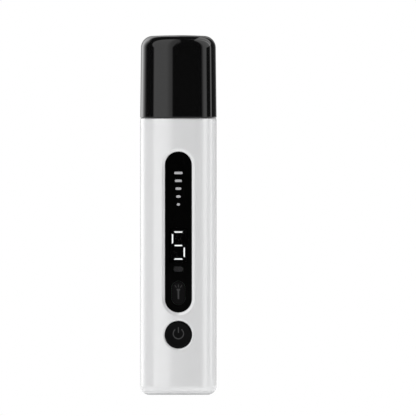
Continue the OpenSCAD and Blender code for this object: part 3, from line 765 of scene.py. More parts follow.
# %% Windows in the lens
lens_low, lens_high = (Vector(c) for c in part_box("display_lens"))
digit_low, digit_high = (Vector(c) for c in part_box("digit_housing"))
status_low, status_high = (Vector(c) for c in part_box("status_light"))
WINDOW_ALPHA = 0.6
WINDOW_MARGIN = 0.1 * MM

window_mask, entry, leave = new_group("window_mask", [], ["Mask"])
x, y, z = split(window_mask, object_place(window_mask))
across = calc(window_mask, "ABSOLUTE", x)
windows = []
for low, high in ((digit_low, digit_high), (status_low, status_high)):
    middle, reach = (low.z + high.z) / 2, (high.z - low.z) / 2
    upright = calc(window_mask, "ABSOLUTE", calc(window_mask, "SUBTRACT", z, middle))
    inside_x = calc(window_mask, "LESS_THAN", across, high.x + WINDOW_MARGIN)
    inside_z = calc(window_mask, "LESS_THAN", upright, reach + WINDOW_MARGIN)
    windows.append(product(window_mask, inside_x, inside_z))
give(window_mask, leave, Mask=calc(window_mask, "MAXIMUM", *windows))
print("the lens has", len(windows), "windows")


# %% Lens, light and grain makers
def lens_material(name):
    material, tree, shader = bare_material(name, Specular_IOR_Level=0.1)
    tone, rough, _ = grain_body(tree, (0.0002, 0.0002, 0.0002), Shade_Drift=0.3, Grain_Size=2.0,
                                Roughness=0.03, Roughness_Drift=0.015)
    marks = place_group(tree, hairlines, Amount=0.1, Spacing=0.3)
    feed_shader(tree, shader, tone, calc(tree, "ADD", rough, marks.outputs["Mask"]))
    mask = place_group(tree, window_mask).outputs["Mask"]
    feed(tree, shader.inputs["Alpha"], ramp(tree, mask, 0, 1, 1.0, WINDOW_ALPHA, smooth=False))
    add_bump(tree, shader, marks.outputs["Height"], 0.001)
    return material


def glowing_material(name, colour, strength):
    """Glowing light guide, a little uneven along its length. On the digit's bars the glow is real; on the
    unlit status pill it is painted light.
    """
    material, tree, shader = bare_material(name, Emission_Strength=strength)
    tone, rough, _ = grain_body(tree, colour, Shade_Drift=0.08, Grain_Size=0.4, Drift_Size=2.0,
                                Roughness=0.4, Roughness_Drift=0.1)
    feed_shader(tree, shader, tone, rough)
    feed(tree, shader.inputs["Emission Color"], tone)
    return material


def grained_material(name, colour, bump, grain, **even):
    """Material with only the moulded grain on it."""
    material, tree, shader = bare_material(name, **even)
    tone, rough, height = grain_body(tree, colour, **grain)
    feed_shader(tree, shader, tone, rough)
    add_bump(tree, shader, height, bump)
    return material


clear_grain = {"Shade_Drift": 0.02, "Roughness": 0.06, "Roughness_Drift": 0.05}
phosphor_grain = {"Shade_Drift": 0.2, "Grain_Size": 0.15, "Roughness": 0.4, "Roughness_Drift": 0.1}
print("lens, light and grain makers ready")

# %% Lens, lamp and ink materials
finish["lens_black"] = lens_material("smoked_lens")
finish["segment_lit"] = glowing_material("lit_guide", (0.97, 0.99, 1.0), 6.5)
# The status pill is unlit. Its faint glow is painted light, in place of the light reaching it through the
# lens.
finish["status_glow"] = glowing_material("status_guide_painted_glow", (0.75, 0.76, 0.78), 0.075)
finish["clear_window"] = grained_material("clear_moulding", (0.93, 0.96, 0.98), 0.004, clear_grain,
                                          Transmission_Weight=1.0, IOR=1.49)
finish["led_package"] = grained_material("lamp_chip", (0.85, 0.62, 0.12), 0.01, phosphor_grain)
finish["mark_grey"] = plastic("pale_ink", (0.40, 0.40, 0.41), 0.5, grain=0.15, bump=0.003, shade=0.15)
finish["symbol_ink"] = plastic("symbol_ink", (0.017, 0.017, 0.018), 0.45, grain=0.12, bump=0.003, shade=0.2)
print("all finishes:", len(finish))

# %% [markdown]
# ## Dressing the carried-over pieces
# Most inner pieces have the right shape already, so they keep their CAD mesh and only take a finish. Every
# node names its slot in the record, and the slot names the finish.

# %% Finish every CAD node
for name, node in frame["nodes"].items():
    node.data.materials.clear()
    node.data.materials.append(finish[slot_of_node[name]])
print("dressed", len(frame["nodes"]), "CAD pieces")


def fit_piece(piece, body, slot, *stands_for):
    """Gives a new piece its finish and body, and hides the CAD nodes that it stands for."""
    even_shading(piece)
    piece.data.materials.clear()
    piece.data.materials.append(finish[slot])
    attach(piece, body)
    if stands_for:
        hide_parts(*stands_for)
    faces = len(piece.data.polygons)
    print(f"{piece.name}: {faces} faces on {body}")


# %% [markdown]
# ## The handle tube
# The tube is one moulding: a tall soft-square shell with a long bevelled recess for the lens and a round
# hole for the power button. Cutting holes from a finished skin would leave untidy shading round them.
# Instead the skin is drawn as a grid with two oblong windows left out, and each window is filled by rings
# that change step by step from the oblong into the recess. Every face stays four-sided, and every edge is
# rounded a little.

# %% Measures of the handle tube
WALL = 2 * MM
FOOT_ROUND = 4 * MM
WINDOW_COLUMNS = 16
tube_low, tube_high = (Vector(c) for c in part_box("body_shell"))
button_low, button_high = (Vector(c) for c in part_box("power_button"))
inner_half = half_width - WALL
lens_middle = (lens_low.z + lens_high.z) / 2
lens_width = lens_high.x - lens_low.x
lens_height = lens_high.z - lens_low.z
button_z = (button_low.z + button_high.z) / 2
ledge_depth = lens_high.y + 0.15 * MM
recess = {
    "middle": lens_middle, "straight": (lens_height - lens_width) / 2,
    "edge": lens_width / 2 + 1.3 * MM, "hole": lens_width / 2 + 0.08 * MM,
    "seat": lens_low.y, "floor": ledge_depth, "through": 4.45 * MM,
}
button_hole = {
    "middle": button_z, "straight": 0.0,
    "edge": 6.72 * MM, "hole": 6.13 * MM,
    "seat": -half_width + 0.5 * MM, "floor": -inner_half - 0.3 * MM, "through": 6.13 * MM,
}
print("lens", round(lens_width / MM, 1), "by", round(lens_height / MM, 1), "mm, button centre at",
      round(button_z / MM, 1), "mm")


# %% Borders and spokes of a window
def window_border(rows, first, last):
    """Grid points round a window, from its lower left corner, anticlockwise as seen from the front."""
    k = WINDOW_COLUMNS
    border = [rows[first][i] for i in range(-k, k + 1)]
    border += [rows[r][k] for r in range(first + 1, last + 1)]
    border += [rows[last][i] for i in range(k - 1, -k - 1, -1)]
    border += [rows[r][-k] for r in range(last - 1, first, -1)]
    return border


def spokes(border, hole):
    """For each border point, the centre height and direction of its point on the round-ended opening."""
    result = []
    for vertex in border:
        x, z = vertex.co.x, vertex.co.z
        centre = min(max(z, hole["middle"] - hole["straight"]), hole["middle"] + hole["straight"])
        if centre == z:
            result.append((centre, Vector((math.copysign(1, x), 0))))
        else:
            result.append((centre, Vector((x, z - centre)).normalized()))
    return result


print("a window is", 2 * WINDOW_COLUMNS, "columns wide")

# %% Window strips
EDGE_ROUND = 0.28 * MM
SEAT_ROUND = 0.12 * MM


def opening_row(lines, radius, depth):
    """Row of points at one radius. A negative depth is kept, a positive one is the half width of a front."""
    row = []
    for centre, way in lines:
        x, z = way.x * radius, centre + way.y * radius
        y = depth if depth < 0 else front_depth(depth, x)
        row.append(Vector((x, y, z)))
    return row


def mix_rows(first, second, share):
    return [a.lerp(b, share) for a, b in zip(first, second)]


def on_front(row, half):
    return [Vector((p.x, front_depth(half, p.x), p.z)) for p in row]


def window_rows(border, hole):
    """All rows from the outer border in to the opening's back edge."""
    lines = spokes(border, hole)
    start = [v.co.copy() for v in border]
    rim = opening_row(lines, hole["edge"] + EDGE_ROUND, half_width)
    corner = opening_row(lines, hole["edge"], half_width)
    seat = opening_row(lines, hole["hole"], hole["seat"])
    wall_top = opening_row(lines, hole["hole"], hole["seat"] + SEAT_ROUND)
    rows = [on_front(mix_rows(start, rim, share), half_width) for share in (0.25, 0.5, 0.75, 0.9)]
    rows += curve_between(rim, corner, mix_rows(corner, seat, 0.22), 5)
    rows += [mix_rows(corner, seat, 0.5)]
    rows += curve_between(mix_rows(corner, seat, 0.85), seat, wall_top, 3)
    rows += [opening_row(lines, hole["hole"], hole["floor"])]
    if hole["through"] < hole["hole"]:
        rows += [opening_row(lines, hole["through"], hole["floor"])]
    rows += [opening_row(lines, hole["through"], inner_half)]
    return rows


print("window strips ready")

# %% Build the handle tube
SEAM = 0.05 * MM
LIP = 0.04 * MM
BUTTON_START, BUTTON_STEP = 18.4, 1.6
LENS_START, LENS_STEP = 34.4, 1.92
foot_curve = round_over(0, half_width, FOOT_ROUND, -1, 24)[::-1]
foot = [(z, half) for z, half in foot_curve if z >= tube_low.z]
button_rows = [(BUTTON_START + BUTTON_STEP * i) * MM for i in range(11)]
lens_rows = [(LENS_START + LENS_STEP * i) * MM for i in range(1, 41)]
upper_rows = [z * MM for z in (114, 117, 120, 122)]
straight = button_rows + lens_rows + upper_rows
top_z = tube_high.z
outside = [(tube_low.z, foot[0][1] - LIP), (tube_low.z + SEAM, foot[0][1]), *foot[1:]]
outside += [(z, half_width) for z in [8 * MM, 12 * MM] + straight]
outside += round_over(top_z, half_width, 0.45 * MM, 1, 6)
inside = [(z, inner_half) for z in [tube_low.z, 8 * MM] + straight + [top_z]]

work = bmesh.new()
outer = [add_ring(work, ring) for ring in section_rings(outside)]
inner = [add_ring(work, ring) for ring in section_rings(inside)]


def row_at(pairs, z):
    return min(range(len(pairs)), key=lambda i: abs(pairs[i][0] - z))


cuts = ((button_rows[0], button_rows[-1], button_hole), (button_rows[-1], lens_rows[-1], recess))


def wall_faces(rows, pairs):
    """Joins grid rows all round, but leaves the windows open."""
    spans = [(row_at(pairs, low), row_at(pairs, high)) for low, high, _ in cuts]
    for r in range(len(rows) - 1):
        open_row = any(first <= r < last for first, last in spans)
        for i in range(AROUND):
            in_window = open_row and (i < WINDOW_COLUMNS or i >= AROUND - WINDOW_COLUMNS)
            if not in_window:
                j = (i + 1) % AROUND
                work.faces.new((rows[r][i], rows[r][j], rows[r + 1][j], rows[r + 1][i]))
    return spans


outer_spans = wall_faces(outer, outside)
inner_spans = wall_faces(inner, inside)
join_rings(work, outer[-1], inner[-1])
join_rings(work, inner[0], outer[0])
for outer_span, inner_span, (_, _, hole) in zip(outer_spans, inner_spans, cuts):
    front_border = window_border(outer, *outer_span)
    back_border = window_border(inner, *inner_span)
    previous = front_border
    for row in window_rows(front_border, hole):
        current = add_ring(work, row)
        join_rings(work, previous, current)
        previous = current
    join_rings(work, previous, back_border)
handle_tube = finish_mesh(work, "handle_tube", SHARP_TUBE)
fit_piece(handle_tube, "housing", "shell_white", "body_shell")

# %% [markdown]
# ## The foot
# A separate cover closes the tube and carries on its rounded edge, with a hair-thin seam where they meet.
# The underside is flat, so here the socket slot and the screw holes can be cut with plain tools.

# %% Build the foot
seam_top = tube_low.z - SEAM
cover = [(z, half) for z, half in foot_curve if z < seam_top - LIP]
rim_half = half_width - FOOT_ROUND + math.sqrt(FOOT_ROUND ** 2 - (FOOT_ROUND - seam_top) ** 2)
cover += [(seam_top - 0.03 * MM, rim_half - 0.02 * MM), (seam_top, rim_half - 0.06 * MM)]
cover += [(z, inner_half - 0.1 * MM) for z in (seam_top, 2.2 * MM)]
foot_cover = skin("foot_cover", section_rings(cover))

screw_low, screw_high = (Vector(c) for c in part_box("base_screws"))
HEAD_R, HOLE_R, TOOL_TOP = 2.1 * MM, 1.1 * MM, 4 * MM
screw_x = (screw_high.x - screw_low.x) / 2 - 1.95 * MM
screw_y = (screw_low.y + screw_high.y) / 2
slot_outline = stadium_outline(9.44 * MM, 3.76 * MM)
slot_tool = skin("slot_tool", [[Vector((x, y, z)) for x, y in slot_outline] for z in (-MM, TOOL_TOP)])
screw_hole = [(HEAD_R, -MM), (HEAD_R, MM), (HOLE_R, MM), (HOLE_R, TOOL_TOP)]
screw_tools = [turned("screw_tool", screw_hole, 48, (side * screw_x, screw_y, 0)) for side in (-1, 1)]
cut(foot_cover, [slot_tool, *screw_tools])
fit_piece(foot_cover, "housing", "shell_white", "base_cover")

# %% [markdown]
# ## The cap
# The cap is a thin polished cup with a generous round at the top and a barely domed crown. Its skin is one
# stack of rings that runs up the inside, turns at the rim, and comes back up the outside, so the wall has a
# real thickness when the cap is lifted.

# %% Build the cap
cap_low, cap_high = (Vector(c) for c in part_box("cap"))
CAP_ROUND = 5.3 * MM
CAP_WALL = 1.8 * MM
CROWN = 0.3 * MM
DRAFT = 0.35 * MM
draft_half = half_width - DRAFT
cap_inner = half_width - CAP_WALL
outside = round_over(cap_high.z - CROWN, draft_half, CAP_ROUND, 1, 20, last=87)
edge_z, edge_half = outside[-1]
for share in (0.85, 0.68, 0.5, 0.32, 0.16, 0.04):
    outside.append((cap_high.z - (cap_high.z - edge_z) * share ** 2, edge_half * share))
rim = cap_low.z - 0.1 * MM
rim_edge = [(rim, half_width - 0.06 * MM), (rim + 0.02 * MM, half_width - 0.02 * MM),
            (rim + 0.06 * MM, half_width)]
wall_rise = [(rim + (outside[0][0] - rim) * s, half_width - DRAFT * s) for s in (0.02, 0.25, 0.5, 0.75)]
ceiling = round_over(cap_high.z - CAP_WALL, cap_inner, 4.1 * MM, 1, 8)
hollow = [(ceiling[-1][0], ceiling[-1][1] * 0.1), *reversed(ceiling), (rim + 0.4 * MM, cap_inner),
          (rim + 0.1 * MM, cap_inner + 0.08 * MM), (rim, cap_inner + 0.25 * MM)]
cap_rings = section_rings(hollow + rim_edge + wall_rise + outside)
pull_cap = skin("pull_off_cap", cap_rings, sharp=SHARP_CAP)
fit_piece(pull_cap, "cap", "cap_black", "cap")

# %% [markdown]
# ## Lens, marks and symbols
# The lens is a flat plate with softened edges and a slot for the lamp button. A rising row of bars marks
# the speed steps, and two common symbols, a torch and a power sign, mark the buttons. All are thin plates,
# because printed ink stands just proud of what it is printed on.

# %% Build the lens and the speed marks
lamp_low, lamp_high = (Vector(c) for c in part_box("lamp_button"))
lamp_z = (lamp_low.z + lamp_high.z) / 2
LAMP_W, LAMP_H = 5.95 * MM, 10.45 * MM
lens_outline = stadium_outline(lens_width, lens_height, (0, lens_middle), 128)
slot_outline = stadium_outline(LAMP_W + 0.3 * MM, LAMP_H + 0.3 * MM, (0, lamp_z), 96)
lens_plate = stamped("smoked_lens_plate", [lens_outline, slot_outline], lens_low.y, lens_high.y, 0.18 * MM)
fit_piece(lens_plate, "housing", "lens_black", "display_lens")

marks_low, marks_high = (Vector(c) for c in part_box("level_marks"))
STEPS = 5
BAR_H = 1.1 * MM
pitch = (marks_high.z - marks_low.z - BAR_H) / (STEPS - 1)
bars = []
for step in range(STEPS):
    width = (1.4 + 0.6 * step) * MM
    bars.append(stadium_outline(width, BAR_H, (0, marks_low.z + BAR_H / 2 + pitch * step), 24))
speed_marks = stamped("speed_marks", bars, lens_low.y - 0.03 * MM, lens_low.y + 0.02 * MM)
fit_piece(speed_marks, "housing", "mark_grey", "level_marks")

# %% [markdown]
# ### The digit and the status light
# The digit is made of seven light guides behind the lens. Five glow and two are dark, so it reads 5. Each
# guide is a flat bar whose ends taper, with a clear gap to the next bar. The status light is one small
# pill. It is unlit, and its faint glow is painted light standing in for the light that reaches it through the
# lens.

# %% Build the digit
guide_low, guide_high = (Vector(c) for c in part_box("lit_segments"))
GUIDE_T = 0.58 * MM
digit_z = (guide_low.z + guide_high.z) / 2
digit_half_w = guide_high.x - 0.5 * MM
digit_half_h = (guide_high.z - guide_low.z) / 2 - 0.5 * MM


def guide_bar(centre, length, way, taper=0.36 * MM):
    """Outline of a bar. Its longer edge faces away from the digit: up, down, left, right or (middle) both."""
    long_end, short_end, side = length / 2, length / 2 - taper, GUIDE_T / 2
    shape = [(-long_end, side), (long_end, side), (short_end, -side), (-short_end, -side)]
    if way == "middle":
        tip = long_end - taper / 2
        shape = [(-tip, 0), (-short_end, side), (short_end, side), (tip, 0)]
        shape += [(short_end, -side), (-short_end, -side)]
    flip = -1 if way in ("down", "left") else 1
    if way in ("left", "right"):
        shape = [(flip * z, x) for x, z in shape]
    else:
        shape = [(x, flip * z) for x, z in shape]
    return [(centre[0] + x, centre[1] + z) for x, z in shape]


LYING, STANDING = 3.85 * MM, 4.45 * MM
side_z = digit_half_h / 2
lit_bars = [guide_bar((0, digit_z + digit_half_h), LYING, "up"), guide_bar((0, digit_z), LYING, "middle"),
            guide_bar((0, digit_z - digit_half_h), LYING, "down"),
            guide_bar((-digit_half_w, digit_z + side_z), STANDING, "left"),
            guide_bar((digit_half_w, digit_z - side_z), STANDING, "right")]
dark_bars = [guide_bar((digit_half_w, digit_z + side_z), STANDING, "right"),
             guide_bar((-digit_half_w, digit_z - side_z), STANDING, "left")]
lit_guides = stamped("lit_guides", lit_bars, guide_low.y, guide_high.y, 0.05 * MM)
fit_piece(lit_guides, "housing", "segment_lit", "lit_segments")
dark_guides = stamped("dark_guides", dark_bars, guide_low.y, guide_high.y, 0.05 * MM)
fit_piece(dark_guides, "housing", "segment_dark", "dark_segments")
print("digit", round(2 * digit_half_w / MM, 1), "by", round(2 * digit_half_h / MM, 1), "mm")

# %% Build the status light
pill_w = 0.93 * (status_high.x - status_low.x)
pill_h = 0.90 * (status_high.z - status_low.z)
pill = stadium_outline(pill_w, pill_h, (0, (status_low.z + status_high.z) / 2), 48)
status_guide = stamped("status_guide", [pill], status_low.y, status_high.y, 0.06 * MM)
fit_piece(status_guide, "housing", "segment_dark", "status_light")
# Painted glow: the unlit pill glows faintly in place of the light that would reach it through the lens.
status_guide.data.materials[0] = finish["status_glow"]

# %% [markdown]
# ## Buttons
# The power button is a turned key with a shallow dish for the fingertip and a soft edge. The lamp button is
# a small slotted key that sits in the lens. Both carry their symbol with them when they are pressed.

# %% Build the power button
face = -button_low.y
KEY_INSET = 1.33 * MM
FLANGE_W, FLANGE_T = 1.2 * MM, 0.7 * MM
flange_front = -button_high.y + FLANGE_T
key_r = (button_high.x - button_low.x) / 2 - KEY_INSET
EDGE = 0.45 * MM
DISH = 0.16 * MM
CENTRE = 0.05 * MM
flange_r = key_r + FLANGE_W
profile = [(CENTRE, face - DISH)]
profile += [(key_r * s, face - DISH * (1 - s ** 2)) for s in (0.2, 0.4, 0.6, 0.75, 0.86)]
profile += [(key_r - EDGE + EDGE * out, face - EDGE + EDGE * up) for out, up in quarter_turn(8)]
profile += [(key_r, flange_front), (flange_r, flange_front), (flange_r, -button_high.y),
            (CENTRE, -button_high.y)]
power_key = turned("power_key", profile, 128, (0, 0, button_z), "front", SHARP_TURNED)
fit_piece(power_key, "power_key", "button_black", "power_button")

# %% Build the power symbol
LINE = 0.5 * MM
ring_r = 2.3 * MM
symbol_z = button_z + 0.5 * MM
power_shapes = [arc_band(ring_r, LINE, 36, 324, (0, symbol_z)),
                stadium_outline(LINE, 2.6 * MM, (0, symbol_z + 1.6 * MM), 24)]
power_symbol = stamped("power_symbol", power_shapes, -face + 0.08 * MM, -face + 0.2 * MM)
fit_piece(power_symbol, "power_key", "symbol_ink")

# %% Build the lamp button
key_outline = stadium_outline(LAMP_W, LAMP_H, (0, lamp_z), 96)
lamp_key = stamped("lamp_key", [key_outline], lamp_low.y, lamp_low.y + 1.3 * MM, 0.25 * MM)
fit_piece(lamp_key, "lamp_key", "button_black", "lamp_button")


def slanted_bar(length, line, angle, start):
    """Outline of a short round-ended line that leans by an angle from upright."""
    turn = math.radians(angle)
    points = []
    for x, z in stadium_outline(line, length, (0, length / 2), 16):
        points.append((start[0] + x * math.cos(turn) + z * math.sin(turn),
                       start[1] - x * math.sin(turn) + z * math.cos(turn)))
    return points


# %% Build the torch symbol
RAY = 0.36 * MM
torch_head = [(-0.8, 1.85), (0.8, 1.85), (0.75, 1.35), (0.36, 0.75), (0.36, -2.6), (0.22, -2.75),
              (-0.22, -2.75), (-0.36, -2.6), (-0.36, 0.75), (-0.75, 1.35)]
torch_shapes = [[(x * MM, lamp_z + z * MM) for x, z in torch_head]]
torch_shapes.append(slanted_bar(1.35 * MM, RAY, 0, (0, lamp_z + 2.45 * MM)))
for side in (-1, 1):
    torch_shapes.append(slanted_bar(1.25 * MM, RAY, side * 35, (side * 0.85 * MM, lamp_z + 2.4 * MM)))
torch_symbol = stamped("torch_symbol", torch_shapes, lamp_low.y - 0.02 * MM, lamp_low.y + 0.05 * MM)
fit_piece(torch_symbol, "lamp_key", "symbol_ink")

# %% [markdown]
# ## Under the cap
# With the cap off, the nose shows: a neck that the cap slides over, a rubber ring that grips it, a snout
# round the spindle, and two lamps. The neck follows the handle's soft square and the snout is round, so the
# flat between them joins one outline to the other.

# %% Build the nose
nose_low, nose_high = (Vector(c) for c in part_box("nose_housing"))
ring_low, ring_high = (Vector(c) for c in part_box("cap_grip_ring"))
neck_half = ring_high.x - 0.35 * MM
neck_top = nose_high.z - 5.5 * MM
groove_half = neck_half - 0.6 * MM
nose = [(nose_low.z + MM, inner_half - 0.2 * MM), (top_z - 0.02 * MM, inner_half - 0.2 * MM),
        (top_z, neck_half)]
nose += [(ring_low.z - 0.15 * MM, neck_half), (ring_low.z, neck_half - 0.15 * MM),
         (ring_low.z, groove_half), (ring_high.z, groove_half), (ring_high.z, neck_half - 0.15 * MM),
         (ring_high.z + 0.15 * MM, neck_half)]
nose += round_over(neck_top, neck_half, 0.9 * MM, 1, 8)
snout = [(9.2, 0.0), (8.9, 0.12), (8.72, 0.45), (8.2, 2.2), (7.6, 4.2), (7.35, 5.0), (7.15, 5.3), (6.8, 5.5),
         (6.0, 5.5), (5.7, 5.38), (5.6, 5.1)]
nose_rings = section_rings(nose) + [round_ring(r * MM, neck_top + z * MM) for r, z in snout]
nose_rings.append(round_ring(5.6 * MM, nose_low.z + 8 * MM))
nose_shell = skin("nose_shell", nose_rings, ends="loop", sharp=SHARP_TUBE)

window_low, window_high = (Vector(c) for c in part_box("lamp_windows"))
window_r = (window_high.y - window_low.y) / 2
lamp_x = window_high.x - window_r
bore_top = neck_top - 0.35 * MM
bore = [(window_r, neck_top - 5 * MM), (window_r, bore_top), (window_r + 0.3 * MM, neck_top),
        (window_r + 0.3 * MM, neck_top + MM)]
bores = [turned("lamp_bore", bore, 64, (side * lamp_x, 0, 0)) for side in (-1, 1)]
cut(nose_shell, bores)
fit_piece(nose_shell, "housing", "nose_white", "nose_housing")

# %% Build the grip ring and the lamp windows
cord_r = (ring_high.z - ring_low.z) / 2 - 0.03 * MM
ring_middle = (ring_low.z + ring_high.z) / 2
ring_rows = []
for step in range(20):
    turn = math.tau * step / 20
    half = ring_high.x - cord_r + cord_r * math.cos(turn)
    ring_rows.append(section_ring(half, ring_middle + cord_r * math.sin(turn)))
grip_ring = skin("grip_ring", ring_rows, ends="loop")
fit_piece(grip_ring, "housing", "ring_rubber", "cap_grip_ring")

DOME_SIDES = 48
dome = [(window_r - 0.02 * MM, window_low.z), (window_r - 0.02 * MM, bore_top)]
dome += [(max(window_r * out, 0.05 * MM), bore_top + 0.5 * MM * up) for up, out in quarter_turn(8)]
circle = [math.tau * i / DOME_SIDES for i in range(DOME_SIDES)]
work = bmesh.new()
for side in (-1, 1):
    rows = []
    for radius, z in dome:
        ring = [Vector((side * lamp_x + radius * math.sin(a), radius * math.cos(a), z)) for a in circle]
        rows.append(add_ring(work, ring))
    for low, high in zip(rows, rows[1:]):
        join_rings(work, low, high)
    work.faces.new(rows[0])
    work.faces.new(rows[-1])
lamp_lenses = finish_mesh(work, "lamp_lenses")
fit_piece(lamp_lenses, "housing", "clear_window", "lamp_windows")

# %% [markdown]
# ## Spindle, collet nut and drum
# The nut is gripped by finger, so its side is ribbed all round. The ribs are cut into the profile as it
# turns. The drum is a plated cylinder crusted with diamond grit, so its skin is pushed in and out by seeded
# noise and the grit material adds what is too fine to model.

# %% Build the nut
nut_low, nut_high = (Vector(c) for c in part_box("collet_nut"))
nut_r = nut_high.x
RIBS = 20


def ribbed(radius, angle, height):
    """Radius of the nut with its grip grooves, which fade out towards both ends."""
    if radius < nut_r - 0.02 * MM:
        return radius
    share = (height - nut_low.z) / (nut_high.z - nut_low.z)
    fade = min(1, max(0, (share - 0.08) / 0.05)) * min(1, max(0, (0.6 - share) / 0.05))
    return radius - 0.3 * MM * fade * max(0, math.cos(angle * RIBS)) ** 3


nut_profile = [(3.6, 0.0), (4.8, 0.0), (5.05, 0.08), (5.2, 0.3)]
nut_profile += [(5.2, 0.5 + 0.3 * i) for i in range(17)]
nut_profile += [(5.2, 5.6), (5.14, 5.8), (4.95, 6.0), (3.7, 7.9), (3.45, 8.12), (3.2, 8.2), (1.8, 8.2),
                (1.62, 8.12), (1.6, 7.9), (1.6, 6.6), (3.6, 5.0)]
nut_outline = [(r * MM, nut_low.z + z * MM) for r, z in nut_profile]
collet_nut = turned("ribbed_nut", nut_outline, 240, shape=ribbed, sharp=SHARP_NUT)
fit_piece(collet_nut, "spindle", "nut_steel", "collet_nut")

# %% Build the drum
drum_low, drum_high = (Vector(c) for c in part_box("bit_drum"))
drum_r = drum_high.x
GRIT = 0.07 * MM
GRIT_SPACING = 0.34 * MM
DRUM_ROUND = 1.2 * MM
DRUM_ROWS = 60


def gritty(radius, angle, height):
    """Radius of the drum with its bed of grit. The plain collar at the bottom stays smooth."""
    if height < drum_low.z + 0.9 * MM:
        return radius
    spot = Vector((math.sin(angle) * drum_r, math.cos(angle) * drum_r, height)) / GRIT_SPACING
    return radius - GRIT * (0.5 + 0.5 * noise.noise(spot))


drum_h = drum_high.z - drum_low.z
drum_profile = [(1.2 * MM, drum_low.z), (drum_r - 0.7 * MM, drum_low.z),
                (drum_r - 0.5 * MM, drum_low.z + 0.12 * MM), (drum_r - 0.45 * MM, drum_low.z + 0.3 * MM),
                (drum_r - 0.45 * MM, drum_low.z + 0.85 * MM)]
for step in range(DRUM_ROWS + 1):
    drum_profile.append((drum_r, drum_low.z + MM + (drum_h - 2.2 * MM) * step / DRUM_ROWS))
for up, out in quarter_turn(10):
    drum_profile.append((drum_r - DRUM_ROUND * (1 - out), drum_high.z - DRUM_ROUND * (1 - up)))
drum_profile += [((drum_r - DRUM_ROUND) * s, drum_high.z) for s in (0.85, 0.7, 0.55, 0.4, 0.25, 0.1)]
grinding_drum = turned("grinding_drum", drum_profile, 180, shape=gritty, sharp=SHARP_TURNED)
fit_piece(grinding_drum, "spindle", "drum_diamond", "bit_drum")

# %% Build the chuck and the shank
chuck_low, chuck_high = (Vector(c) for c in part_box("chuck"))
chuck_profile = [(1.15, 0.0), (4.1, 0.0), (4.4, 0.1), (4.5, 0.4), (4.5, 11.6), (4.4, 11.9), (4.1, 12.0),
                 (3.6, 12.0), (3.6, 17.3), (3.4, 17.5), (1.2, 17.5)]
turned_chuck = turned("turned_chuck", [(r * MM, chuck_low.z + z * MM) for r, z in chuck_profile], 96)
fit_piece(turned_chuck, "spindle", "chuck_steel", "chuck")

shank_low, shank_high = (Vector(c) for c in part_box("bit_shank"))
shank_r = shank_high.x
shank_profile = [(0.05 * MM, shank_low.z), (shank_r - 0.2 * MM, shank_low.z),
                 (shank_r, shank_low.z + 0.2 * MM), (shank_r, shank_high.z - 0.1 * MM),
                 (0.05 * MM, shank_high.z)]
ground_shank = turned("ground_shank", shank_profile, 64)
fit_piece(ground_shank, "spindle", "shaft_steel", "bit_shank")

# %% [markdown]
# ## Floor, camera and light
# The object stands on a plain pale floor. The camera looks straight at the front without perspective, as in
# a catalogue, so the floor is seen edge-on. The sky stands in for a small studio: a tall soft card on the
# left, a leaning card and a thin bright line on the right, little in front, and light from behind on the
# left. Gloss plastic shows those cards as clean upright bands, which is what tells the eye it is polished.
# A bright table would throw light up at the foot. The last lamp does that from under the floor, so the
# floor casts no shadow.

# %% Build the floor
FLOOR_GAP = 0.1 * MM
FLOOR_RADIUS = 30
work = bmesh.new()
bmesh.ops.create_circle(work, cap_ends=True, segments=64, radius=FLOOR_RADIUS)
floor = finish_mesh(work, "floor")
floor_finish = plastic("pale_floor", (0.86, 0.86, 0.86), 0.6, grain=3.0, bump=0.02, shade=0.01)
floor.data.materials.append(floor_finish)
floor.location.z = -FLOOR_GAP
floor.visible_shadow = False
floor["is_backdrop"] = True
print("floor laid")

# %% Set the camera
PICTURE_WIDTH = 185.1 * MM
VIEW_CENTRE = (13.18 * MM, 83.1 * MM)
CAMERA_AWAY = 0.8
lens = bpy.data.cameras.new("camera")
lens.type = "ORTHO"
lens.ortho_scale = PICTURE_WIDTH
camera = bpy.data.objects.new("camera", lens)
camera.location = (VIEW_CENTRE[0], -CAMERA_AWAY, VIEW_CENTRE[1])
camera.rotation_euler = (math.pi / 2, 0, 0)
bpy.context.scene.collection.objects.link(camera)
bpy.context.scene.camera = camera
print("picture is", round(PICTURE_WIDTH / MM, 1), "mm wide")

# %% Light the studio
scene = bpy.context.scene
scene.view_settings.view_transform = "Standard"
scene.view_settings.look = "None"
studio = bpy.data.worlds.new("studio")
scene.world = studio
studio.use_nodes = True
sky = studio.node_tree
sky.nodes.clear()
source = sky.nodes.new("ShaderNodeTexCoord")
side_way, depth_way, up_way = split(sky, source.outputs["Generated"])
around = calc(sky, "DEGREES", calc(sky, "ARCTAN2", side_way, product(sky, depth_way, -1.0)))
lift = calc(sky, "MAXIMUM", up_way, 0.0)


def card(left, right, soft_left, soft_right, brightness):
    """Upright card between two angles round the object. The angles may move with the height."""
    rise = ramp(sky, calc(sky, "SUBTRACT", around, left), -soft_left, soft_left)
    fall = ramp(sky, calc(sky, "SUBTRACT", around, right), -soft_right, soft_right, 1.0, 0.0)
    return product(sky, rise, fall, brightness)


left_edge = calc(sky, "MULTIPLY_ADD", lift, -35.0, -54.5)
left_card = card(left_edge, calc(sky, "MULTIPLY_ADD", lift, 4.0, -3.0), 5.0, 0.7, 0.72)
left_card = product(sky, left_card, ramp(sky, around, -13.0, -2.0, 1.0, 0.55))
line_card = card(104.5, 115.5, 1.0, 2.0, 0.74)

# The right card hangs on a wall. Its edges are straight there, so they are drawn in wall coordinates.
to_wall = calc(sky, "MAXIMUM", side_way, 0.002)
wall_y = calc(sky, "DIVIDE", depth_way, to_wall)
wall_z = calc(sky, "DIVIDE", up_way, to_wall)
near_edge = ramp(sky, wall_y, -0.97, -0.49)
top_edge = ramp(sky, wall_z, 3.6, 4.2, 1.0, 0.0)
shallow = calc(sky, "MULTIPLY_ADD", wall_y, 0.41, 0.115)
lean = calc(sky, "MAXIMUM", shallow, calc(sky, "SUBTRACT", wall_y, 0.3))
far_edge = ramp(sky, calc(sky, "SUBTRACT", wall_z, lean), -0.03, 0.03)
right_card = product(sky, near_edge, top_edge, far_edge, 0.70)
print("three cards hung")

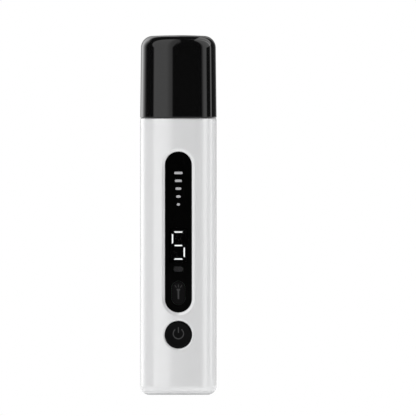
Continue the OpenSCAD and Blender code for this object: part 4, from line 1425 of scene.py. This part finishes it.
# %% Light from behind
EVEN_GLOW = 0.03
GLOSS_BOOST = 0.8
low_down = ramp(sky, up_way, 0.55, 0.75, 1.0, 0.0)
back_left = ramp(sky, around, -150.0, -100.0, 1.2, 0.0)
back_left = product(sky, back_left, ramp(sky, around, -172.0, -140.0, 0.4, 1.0))
back_right = ramp(sky, around, 156.0, 168.0, 0.0, 0.25)
straight_back = ramp(sky, depth_way, 0.90, 0.985, 1.0, 0.35)
behind = product(sky, calc(sky, "ADD", back_left, back_right), low_down, straight_back)
total = calc(sky, "ADD", calc(sky, "ADD", left_card, right_card), calc(sky, "ADD", line_card, behind))
above_floor = ramp(sky, up_way, -0.02, 0.0)
path = sky.nodes.new("ShaderNodeLightPath")
glossier = calc(sky, "MULTIPLY_ADD", path.outputs["Is Glossy Ray"], GLOSS_BOOST, 1.0)
total = product(sky, calc(sky, "ADD", total, EVEN_GLOW), above_floor, glossier)
seen = calc(sky, "MAXIMUM", total, path.outputs["Is Camera Ray"])
glow = sky.nodes.new("ShaderNodeBackground")
glow.inputs["Color"].default_value = WHITE
feed(sky, glow.inputs["Strength"], seen)
result = sky.nodes.new("ShaderNodeOutputWorld")
sky.links.new(glow.outputs[0], result.inputs["Surface"])
print("sky has", len(sky.nodes), "nodes")


# %% Set the lamps
LAMP_SPREAD = math.radians(50)


def soft_lamp(name, strength, tilt, turn):
    """Broad lamp that tilts away from overhead, then turns round the object. It adds no glint."""
    light = bpy.data.lights.new(name, "SUN")
    light.energy = strength
    light.angle = LAMP_SPREAD
    holder = bpy.data.objects.new(name, light)
    holder.rotation_euler = (math.radians(tilt), 0, math.radians(turn))
    holder.visible_glossy = False
    scene.collection.objects.link(holder)


soft_lamp("overhead", 2.3, 15, -30)
soft_lamp("left_fill", 0.8, 72, -104)
soft_lamp("right_fill", 1.05, 72, 100)
soft_lamp("table_bounce", 1.1, 176, -10)
print("four lamps set")

# %% Measure the size
low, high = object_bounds()
print("visual box", [round(v / MM, 2) for v in (*low, *high)])
